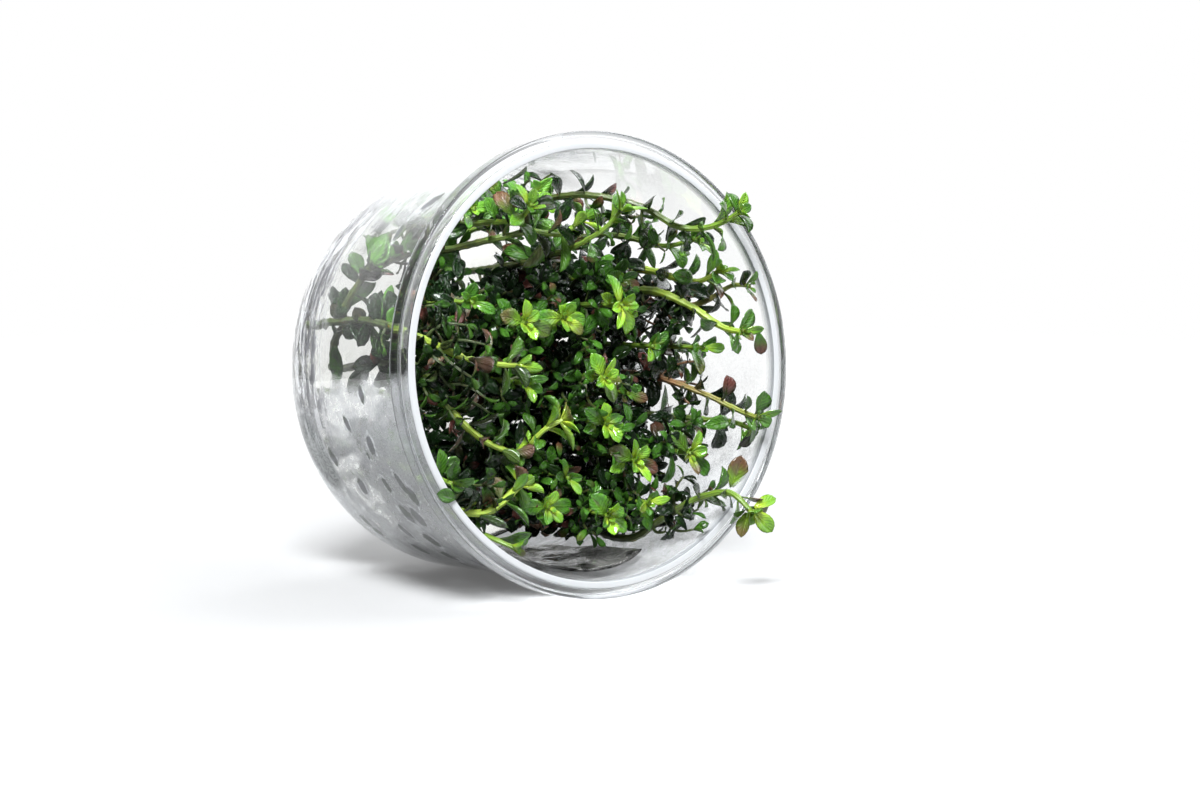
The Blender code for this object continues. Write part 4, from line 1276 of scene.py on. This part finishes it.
def stem_finish(name, young, old, blush_from):
    """Soft stem: yellow-green, browner with age in patches, with fine ridges along it."""
    finish = Finish(name, IOR=1.45, Coat_Weight=0.15, Coat_Roughness=0.2, Subsurface_Weight=0.15,
                    Subsurface_Scale=0.0006)
    age = finish.node("SeparateColor", {0: finish.value("growth", "Color")}).outputs[0]
    wave = {0: finish.node("UVMap", uv_map="leaf").outputs[0], "Scale": 2.2, "Distortion": 1.5, "Detail": 2.0}
    ridges = finish.node("TexWave", wave, bands_direction="Y").outputs["Fac"]
    patches = finish.noise(finish.place(), 260.0, 3.0)
    brown = finish.range(finish.plus(age, finish.times(patches, 0.8)), blush_from, blush_from + 0.7)
    colour = finish.mixed(brown, young, old)
    ridged = finish.range(ridges, 0.2, 0.9, 0.0, 0.22)
    colour = finish.mixed(ridged, colour, finish.tinted(colour, (0.6, 0.62, 0.5)))
    finish.set(Base_Color=colour, Roughness=finish.range(patches, 0.3, 0.7, 0.32, 0.5),
               Normal=finish.bump(finish.plus(ridges, patches), 0.0001))
    return finish.material


# The dark_shoot colours are painted shade for the low shoots deep in the clump.
LEAF_COLOURS = {
    "green_shoot": ((0.23, 0.48, 0.03), (0.066, 0.195, 0.018), (0.004, 0.014, 0.003)),
    "bright_shoot": ((0.25, 0.53, 0.03), (0.07, 0.225, 0.02), (0.004, 0.014, 0.003)),
    "dark_shoot": ((0.05, 0.16, 0.012), (0.018, 0.06, 0.008), (0.004, 0.014, 0.003)),
}
# The deep leaf materials are copies with less gloss, painted shade for the sprig leaves deep in the clump;
# the leaves on the wall use it too.
LEAF_GLOSS = 0.75
DEEP_GLOSS = 0.3
leaf_materials, deep_materials = (
    {slot: leaf_finish(slot + ending, gloss, *colours) for slot, colours in LEAF_COLOURS.items()}
    for ending, gloss in (("_leaf", LEAF_GLOSS), ("_deep_leaf", DEEP_GLOSS))
)
STEM_LOOKS = {
    "yellow_stem": ((0.30, 0.42, 0.05), (0.05, 0.075, 0.018), 0.75),
    "green_stem": ((0.15, 0.26, 0.025), (0.05, 0.07, 0.015), 0.5),
    "brown_stem": ((0.22, 0.26, 0.05), (0.22, 0.12, 0.06), 0.45),
}
stem_materials = {name: stem_finish(name, *look) for name, look in STEM_LOOKS.items()}
YELLOW_STEMS = (3, 5, 9, 10, 11, 12)
BROWN_STEMS = (4, 6)


def shoot_slot(number):
    """The slot of a shoot: its first eighteen are green, the upright ones bright, the low ones dark."""
    if number >= len(shoots) - THICKET_SHOOTS:
        return "dark_shoot"
    return "green_shoot" if number < len(LEADERS) else "bright_shoot"


def stem_look(number):
    """The stem material of a shoot."""
    if number + 1 in YELLOW_STEMS:
        return stem_materials["yellow_stem"]
    return stem_materials["brown_stem" if number + 1 in BROWN_STEMS else "green_stem"]


def joined(parts):
    """One mesh from parts of (points, side faces, end caps, map, growth, material), and each face's
    material."""
    points, quads, caps, charts, growths, kinds = zip(*parts)
    offsets = np.cumsum([0, *map(len, points)])
    faces = [side + offset for pair, offset in zip(zip(quads, caps), offsets) for side in pair]
    kinds = [np.full(len(side) + len(ends), kind, np.int32) for side, ends, kind in zip(quads, caps, kinds)]
    return np.concatenate(points), faces, *map(np.concatenate, (kinds, charts, growths))


def sprig_stem(route):
    """A sprig's thin stem with its map and growth values."""
    radius = SPRIG_RADIUS * np.linspace(1.0, 0.6, len(route))[:, None]
    points, quads, caps = tube(route, radius, SPRIG_SIDES)
    chart = np.zeros((len(points), 2))
    chart[:, 0] = np.repeat(np.arange(len(route)), SPRIG_SIDES) * 0.3
    chart[:, 1] = np.tile(np.arange(SPRIG_SIDES) / SPRIG_SIDES, len(route))
    growth = np.zeros((len(points), 4))
    growth[:, 0] = OLDEST_STEM
    return points, quads, caps, chart, growth, 0


def add_shoot(name, parts, materials, stands_for=()):
    """A grown piece from its parts, with the map and growth values that its materials read."""
    points, faces, kinds, chart, growth = joined(parts)
    piece = new_piece(name, points, faces, materials, stands_for)
    mesh = piece.data
    mesh.polygons.foreach_set("material_index", kinds)
    values = mesh.attributes.new("growth", "FLOAT_COLOR", "POINT")
    values.data.foreach_set("color", growth.astype(np.float32).ravel())
    corner = np.zeros(len(mesh.loops), np.int32)
    mesh.loops.foreach_get("vertex_index", corner)
    layer = mesh.uv_layers.new(name="leaf")
    layer.data.foreach_set("uv", chart[corner].astype(np.float32).ravel())


def build_shoot(number, records, routes, deep):
    """One shoot: its stem, the stems of its sprigs, and all its leaves."""
    parts = [(*stem_mesh(number), 0)] + [sprig_stem(route) for route in routes]
    parts.append((*leaf_mesh(records, *NEAR_LEAF), 1))
    if deep:
        parts.append((*leaf_mesh(deep, *DEEP_LEAF), 2))
    slot = shoot_slot(number)
    name = f"shoot_{number + 1:02d}"
    materials = [stem_look(number), leaf_materials[slot], deep_materials[slot]]
    add_shoot(name + "_grown", parts, materials, (name,))


# A few leaves stand out by themselves: red-brown ones at the right, dark ones at the top and along the left
# wall. Each has its shoot, foot and tip, the way it faces, half its width, its age and its blush.
TO_MOUTH = (-0.5, 0.1, 0.85)
SINGLE_LEAVES = (
    (7, (36.0, -29.3, 62.0), (37.3, -22.3, 64.5), TO_MOUTH, 2.3, 0.35, 1.0),
    (5, (43.0, 4.8, 65.5), (44.2, -0.4, 64.7), TO_MOUTH, 1.5, 0.5, 1.0),
    (16, (-18.1, 39.6, 60.0), (-10.5, 42.4, 58.5), (-0.3, -0.9, 0.2), 1.2, 0.75, 0.2),
    (16, (-14.2, 38.3, 57.0), (-12.4, 34.4, 57.5), TO_MOUTH, 1.5, 0.5, 1.0),
    (8, (31.0, -33.6, 76.0), (34.5, -38.5, 78.0), TO_MOUTH, 1.9, 0.2, 0.9),
    (8, (30.0, -34.0, 75.0), (27.5, -39.0, 75.5), (-0.8, -0.2, 0.5), 1.6, 0.3, 0.95),
    (8, (31.0, -33.0, 76.5), (35.5, -31.0, 78.5), (-0.2, 0.6, 0.7), 1.5, 0.15, 0.3),
    (18, (-33.0, 24.0, 29.0), (-29.5, 31.5, 24.0), TO_MOUTH, 1.4, 0.54, 0.2),
    (18, (-33.0, 24.0, 29.0), (-30.0, 31.0, 30.5), TO_MOUTH, 1.5, 0.48, 0.2),
    (18, (-33.0, 24.0, 29.0), (-29.5, 29.0, 31.0), TO_MOUTH, 1.4, 0.5, 0.2),
    (18, (-34.0, 21.5, 27.0), (-34.0, 27.5, 22.5), TO_MOUTH, 1.5, 0.6, 0.2),
    (18, (-34.5, 20.0, 26.0), (-36.0, 25.0, 22.0), TO_MOUTH, 1.3, 0.75, 0.2),
    (18, (-36.5, 13.5, 21.0), (-38.0, 20.0, 20.5), TO_MOUTH, 1.3, 0.8, 0.2),
    (18, (-36.5, 13.5, 21.0), (-35.5, 19.5, 22.0), TO_MOUTH, 1.5, 0.7, 0.2),
    (18, (-36.0, 7.5, 17.0), (-36.5, -1.0, 17.5), TO_MOUTH, 1.4, 0.66, 0.8),
    (9, (-40.0, 11.5, 42.5), (-40.0, 18.0, 42.0), TO_MOUTH, 1.9, 0.75, 0.2),
    (9, (-39.5, 10.5, 47.0), (-38.0, 14.5, 48.0), TO_MOUTH, 1.7, 0.5, 0.2),
    (18, (-35.5, 16.0, 23.0), (-31.0, 21.0, 24.0), TO_MOUTH, 1.1, 0.55, 0.3),
    (9, (-39.6, 11.5, 44.0), (-36.0, 19.5, 43.0), TO_MOUTH, 1.3, 0.55, 0.3),
    (9, (-39.0, 11.0, 38.0), (-37.0, 4.5, 38.5), TO_MOUTH, 1.4, 0.6, 0.2),
    (9, (-38.0, 12.0, 24.0), (-39.0, 16.5, 21.5), TO_MOUTH, 1.3, 0.85, 0.9),
    (9, (-39.0, 12.0, 32.0), (-41.0, 8.5, 30.0), TO_MOUTH, 1.6, 0.9, 0.3),
    (9, (-39.3, 12.0, 35.0), (-41.5, 15.0, 36.0), TO_MOUTH, 1.5, 0.8, 0.9),
    (10, (-34.5, 3.0, 33.0), (-39.5, 2.5, 29.5), TO_MOUTH, 2.1, 0.75, 0.3),
    (14, (-38.6, -25.2, 66.9), (-42.9, -24.0, 67.1), (-0.1, 0.0, 1.0), 1.6, 0.55, 0.6),
)


def single_leaf(base, tip, facing, half_width, age, blush):
    """The record of a leaf from its foot to its tip, its upper side turned as near to the facing as its
    line allows."""
    base = np.array(base)
    direction = np.subtract(tip, base)
    length = np.linalg.norm(direction)
    direction = direction / length
    upper = facing - direction * (np.array(facing) @ direction)
    upper = upper / np.linalg.norm(upper)
    leaf = (base, direction, np.cross(upper, direction), upper, length, half_width, 0.08)
    return (*leaf, age, 0.5, blush, 0.3, 0.3, 0.6)


grown_leaves = [[] for _ in shoots]
leaf_looks = [np.random.default_rng(100 + number) for number in range(len(shoots))]
solid_points = solid_leaves(grown_leaves, leaf_looks)
filled_cells = np.zeros(GRID_SHAPE, bool)
filled_cells[grid_cells(np.concatenate([solid_points, *fine_stems]))] = True
tips = [rosette(number) for number in range(len(shoots))]
for records in tips:
    for record in records:
        filled_cells[grid_cells(checked_points(record[:7]))] = True
between_leaves(grown_leaves, leaf_looks, filled_cells)
sprig_routes, deep_leaves = grow_sprigs(leaf_looks, filled_cells)
for number, base, tip, facing, half_width, age, blush in SINGLE_LEAVES:
    grown_leaves[number - 1].append(single_leaf(base, tip, facing, half_width, age, blush))
for number, records in enumerate(grown_leaves):
    build_shoot(number, records + tips[number], sprig_routes[number], deep_leaves[number])

# A few leaves have come off and lie flat on the misted wall, where their wet undersides show through it.
WALL_LEAF_GAP = 0.3


def wall_leaf(angle, height, turn, length, rng):
    """A leaf record lying on the inner wall: its middle at the angle and height, turned from the cup's
    axis."""
    around = math.radians(angle)
    inward = -np.array([math.cos(around), math.sin(around), 0.0])
    beside = np.array([-math.sin(around), math.cos(around), 0.0])
    axis = np.array([0.0, 0.0, 1.0])
    lean = math.radians(turn)
    direction = math.cos(lean) * axis + math.sin(lean) * beside
    middle = -inward * (float(inner_radius(height)) - WALL_LEAF_GAP) + axis * height
    sag = 0.5 * (0.5 * length) ** 2 * math.sin(lean) ** 2 / BODY_RADIUS
    base = middle - direction * 0.5 * length + inward * sag
    curl = math.sin(lean) ** 2 * length / BODY_RADIUS / ARC_PER_CURL
    leaf = (base, direction, np.cross(inward, direction), inward, length, length * WALL_LEAF_BREADTH, curl)
    return (*leaf, rng.uniform(0.45, 0.9), rng.uniform(), rng.uniform(0.4, 0.8), -0.8, 0.1, 0.7)


wall_rng = np.random.default_rng(11)
wall_records = [wall_leaf(*place, wall_rng) for place in WALL_LEAVES]
wall_part = (*leaf_mesh(wall_records, *NEAR_LEAF), 0)
add_shoot("wall_leaves", [wall_part], [deep_materials["dark_shoot"]])

# Scraps of old gel and withered leaf bases lie between the stems and on the low wall, as soft pale lumps.
SCRAPS = (
    (-12.0, 16.0, 27.0, 3.2, 1.6), (-8.0, 11.5, 24.0, 2.6, 1.4), (-3.5, 13.0, 22.0, 2.2, 1.2),
    (-17.0, 3.0, 27.0, 2.4, 1.3), (-3.6, -33.0, 32.0, 3.4, 1.3), (2.8, -35.0, 33.0, 3.0, 1.2),
    (8.0, -36.5, 30.0, 2.6, 1.0), (-8.0, -30.0, 30.0, 2.6, 1.2),
)
SCRAP_ROWS = 12
SCRAP_COLUMNS = 18


def scrap(across, up, out, size, thickness, number):
    """A closed lump: a sphere flattened to its thickness, its radius changed by a few crossed sines."""
    polar = np.linspace(0.0, math.pi, SCRAP_ROWS + 2)[1:-1, None]
    turn = np.linspace(0.0, 2 * math.pi, SCRAP_COLUMNS, endpoint=False)[None, :]
    swell = 1.0 + 0.22 * np.sin(3 * turn + number) * np.sin(polar)
    swell = swell + 0.14 * np.sin(5 * turn - 2 * polar + 2 * number)
    x = size * swell * np.sin(polar) * np.cos(turn)
    y = thickness * swell * np.cos(polar) * np.ones_like(turn)
    z = size * 0.8 * swell * np.sin(polar) * np.sin(turn)
    lean = 0.7 * math.sin(2.3 * number)
    cos, sin = math.cos(lean), math.sin(lean)
    body = np.stack([x * cos - y * sin, x * sin + y * cos, z], axis=-1)
    middle = np.array([across, up, out])
    poles = np.array([[-sin, cos, 0.0], [sin, -cos, 0.0]]) * thickness
    points = np.concatenate([body.reshape(-1, 3), poles]) + middle
    return points, facing_out(points, fanned_rings(SCRAP_ROWS, SCRAP_COLUMNS))


def scrap_finish():
    """Old gel: cream to dark tan in cloudy patches, waxy."""
    finish = Finish("old_gel", IOR=1.38, Roughness=0.3, Subsurface_Weight=0.3, Subsurface_Scale=0.001)
    clouds = finish.noise(finish.place(), 420.0, 4.0, 0.6, 0.8)
    colour = finish.mixed(finish.range(clouds, 0.35, 0.65), (0.56, 0.47, 0.34), (0.20, 0.12, 0.07))
    finish.set(Base_Color=colour, Normal=finish.bump(clouds, 0.0006))
    return finish.material


scrap_points, scrap_faces, scrap_count = [], [], 0
for number, place in enumerate(SCRAPS):
    points, faces = scrap(*place, number)
    scrap_points.append(points)
    scrap_faces += [part + scrap_count for part in faces]
    scrap_count += len(points)
new_piece("gel_scraps", np.concatenate(scrap_points), scrap_faces, [scrap_finish()])

# The studio: a white floor and surround, a soft key light high in front, a weak fill on the right and a
# large dim light behind on the right. The surround's dark sides draw the dark lines in the clear rim, with
# the grey painted into the rim's edges as painted shade.
AZIMUTH = -34.34
ELEVATION = 6.69
DISTANCE = 654.3
FOCAL_PIXELS = 3063.8
PICTURE_WIDTH = 1200
SENSOR = 36.0
TARGET = (-0.36, -25.8, 42.66)


def look_axes():
    """Right, up and back axes of the camera from its azimuth and elevation."""
    azimuth, elevation = math.radians(AZIMUTH), math.radians(ELEVATION)
    back = np.array([math.sin(azimuth) * math.cos(elevation), -math.cos(azimuth) * math.cos(elevation),
                     math.sin(elevation)])
    right = np.array([math.cos(azimuth), math.sin(azimuth), 0.0])
    return right, np.cross(back, right), back


right_axis, up_axis, back_axis = look_axes()


def add_camera():
    """Camera at the fitted distance behind its target, its lens from the focal length in pixels."""
    data = bpy.data.cameras.new("camera")
    data.sensor_width = SENSOR
    data.lens = FOCAL_PIXELS / PICTURE_WIDTH * SENSOR
    camera = bpy.data.objects.new("camera", data)
    bpy.context.scene.collection.objects.link(camera)
    placed = np.eye(4)
    placed[:3, 0], placed[:3, 1], placed[:3, 2] = right_axis, up_axis, back_axis
    placed[:3, 3] = (np.array(TARGET) + back_axis * DISTANCE) * MM
    camera.matrix_world = Matrix(placed.tolist())
    bpy.context.scene.camera = camera


LAMP_TINT = (0.96, 0.98, 1.0)
LAMP_AIM = 0.045
OVERHEAD = np.array([0.0, 0.0, 1.0])


def add_softbox(name, along, width, height, power):
    """A soft rectangular light: along is its place right, up and back from the cup in metres, and it faces
    the cup."""
    data = bpy.data.lights.new(name, "AREA")
    data.shape = "RECTANGLE"
    data.size = width
    data.size_y = height
    data.energy = power
    data.color = LAMP_TINT
    light = bpy.data.objects.new(name, data)
    place = along[0] * right_axis + along[1] * OVERHEAD + along[2] * back_axis
    aim = Vector((0.0, 0.0, LAMP_AIM))
    light.location = Vector(place) + aim
    light.rotation_euler = (aim - light.location).to_track_quat("-Z", "Y").to_euler()
    bpy.context.scene.collection.objects.link(light)


FLOOR_RADIUS = 0.42
FLOOR_BACK = 0.2
FLOOR_GAP = 0.00005
FLOOR_SIDES = 96
GLOW_REACH = (0.10, 0.34)
# The floor's faint glow near the cup is painted light that lightens the shadows under it.
NEAR_GLOW = 0.1
OUTER_LEVEL = 1.2


def add_floor():
    """A round white table top, mostly behind the cup, which glows towards its edge so that it runs out in
    white, and glows faintly near the cup too, painted light that lightens the shadows there."""
    turn = np.linspace(0.0, 2 * math.pi, FLOOR_SIDES, endpoint=False)
    depth = np.full(FLOOR_SIDES, -FLOOR_GAP)
    rim = np.stack([FLOOR_RADIUS * np.cos(turn), FLOOR_RADIUS * np.sin(turn), depth], axis=1)
    rim[:, :2] -= FLOOR_BACK * back_axis[:2]
    mesh = bpy.data.meshes.new("floor")
    mesh.from_pydata(rim.tolist(), [], [list(range(FLOOR_SIDES))])
    finish = Finish("floor_white", Roughness=0.8, Specular_IOR_Level=0.1, Emission_Color=(1.0, 1.0, 1.0),
                    Emission_Strength=NEAR_GLOW)
    place = finish.place()
    grain = finish.noise(place, 30.0, 2.0)
    away = finish.vector_maths("LENGTH", place).outputs["Value"]
    finish.set(Base_Color=finish.mixed(grain, (0.36, 0.36, 0.36), (0.38, 0.38, 0.38)))
    glow = finish.node("Emission", {"Color": (1.0, 1.0, 1.0), "Strength": OUTER_LEVEL})
    finish.blend_with(finish.range(away, *GLOW_REACH), glow)
    mesh.materials.append(finish.material)
    floor = bpy.data.objects.new("floor", mesh)
    bpy.context.scene.collection.objects.link(floor)


def add_surround():
    """White surround for the camera; other rays see it white behind the cup and overhead, and darker to the
    sides."""
    world = bpy.data.worlds.new("surround")
    bpy.context.scene.world = world
    world.use_nodes = True
    nodes = Nodes(world.node_tree)
    direction = nodes.node("TexCoord").outputs["Generated"]

    def facing(axis, *limits):
        along = nodes.vector_maths("DOT_PRODUCT", direction, tuple(axis)).outputs["Value"]
        return nodes.range(along, *limits)

    behind = facing(-back_axis, 0.42, 0.75, 0.1, OUTER_LEVEL)
    low = facing(OVERHEAD, 0.25, 0.6, 1.0, 0.4)
    overhead = facing(OVERHEAD, 0.55, 0.9, 0.0, 0.2)
    in_front = facing(back_axis, 0.2, 0.9, 0.0, 0.05)
    above = facing(0.78 * OVERHEAD - 0.62 * back_axis, 0.72, 0.92, 0.0, 0.4)
    level = nodes.times(behind, low)
    for other in (above, overhead, in_front):
        level = nodes.maths("MAXIMUM", level, other)
    camera_ray = nodes.node("LightPath").outputs["Is Camera Ray"]
    shown = nodes.node("Mix", {0: camera_ray, 2: level, 3: 1.0}).outputs[0]
    nodes.fill(nodes.tree.nodes["Background"], {"Strength": shown, "Color": (1.0, 1.0, 1.0)})


add_camera()
add_surround()
add_floor()
add_softbox("key", (-0.05, 0.85, 0.8), 0.4, 0.4, 37.0)
add_softbox("fill", (0.9, 0.35, 0.6), 0.4, 0.6, 3.0)
add_softbox("back", (0.75, 0.9, -0.5), 1.3, 1.1, 22.0)

scene = bpy.context.scene
scene.view_settings.view_transform = "Standard"
scene.cycles.max_bounces = 16
scene.cycles.transmission_bounces = 14
scene.cycles.transparent_max_bounces = 16
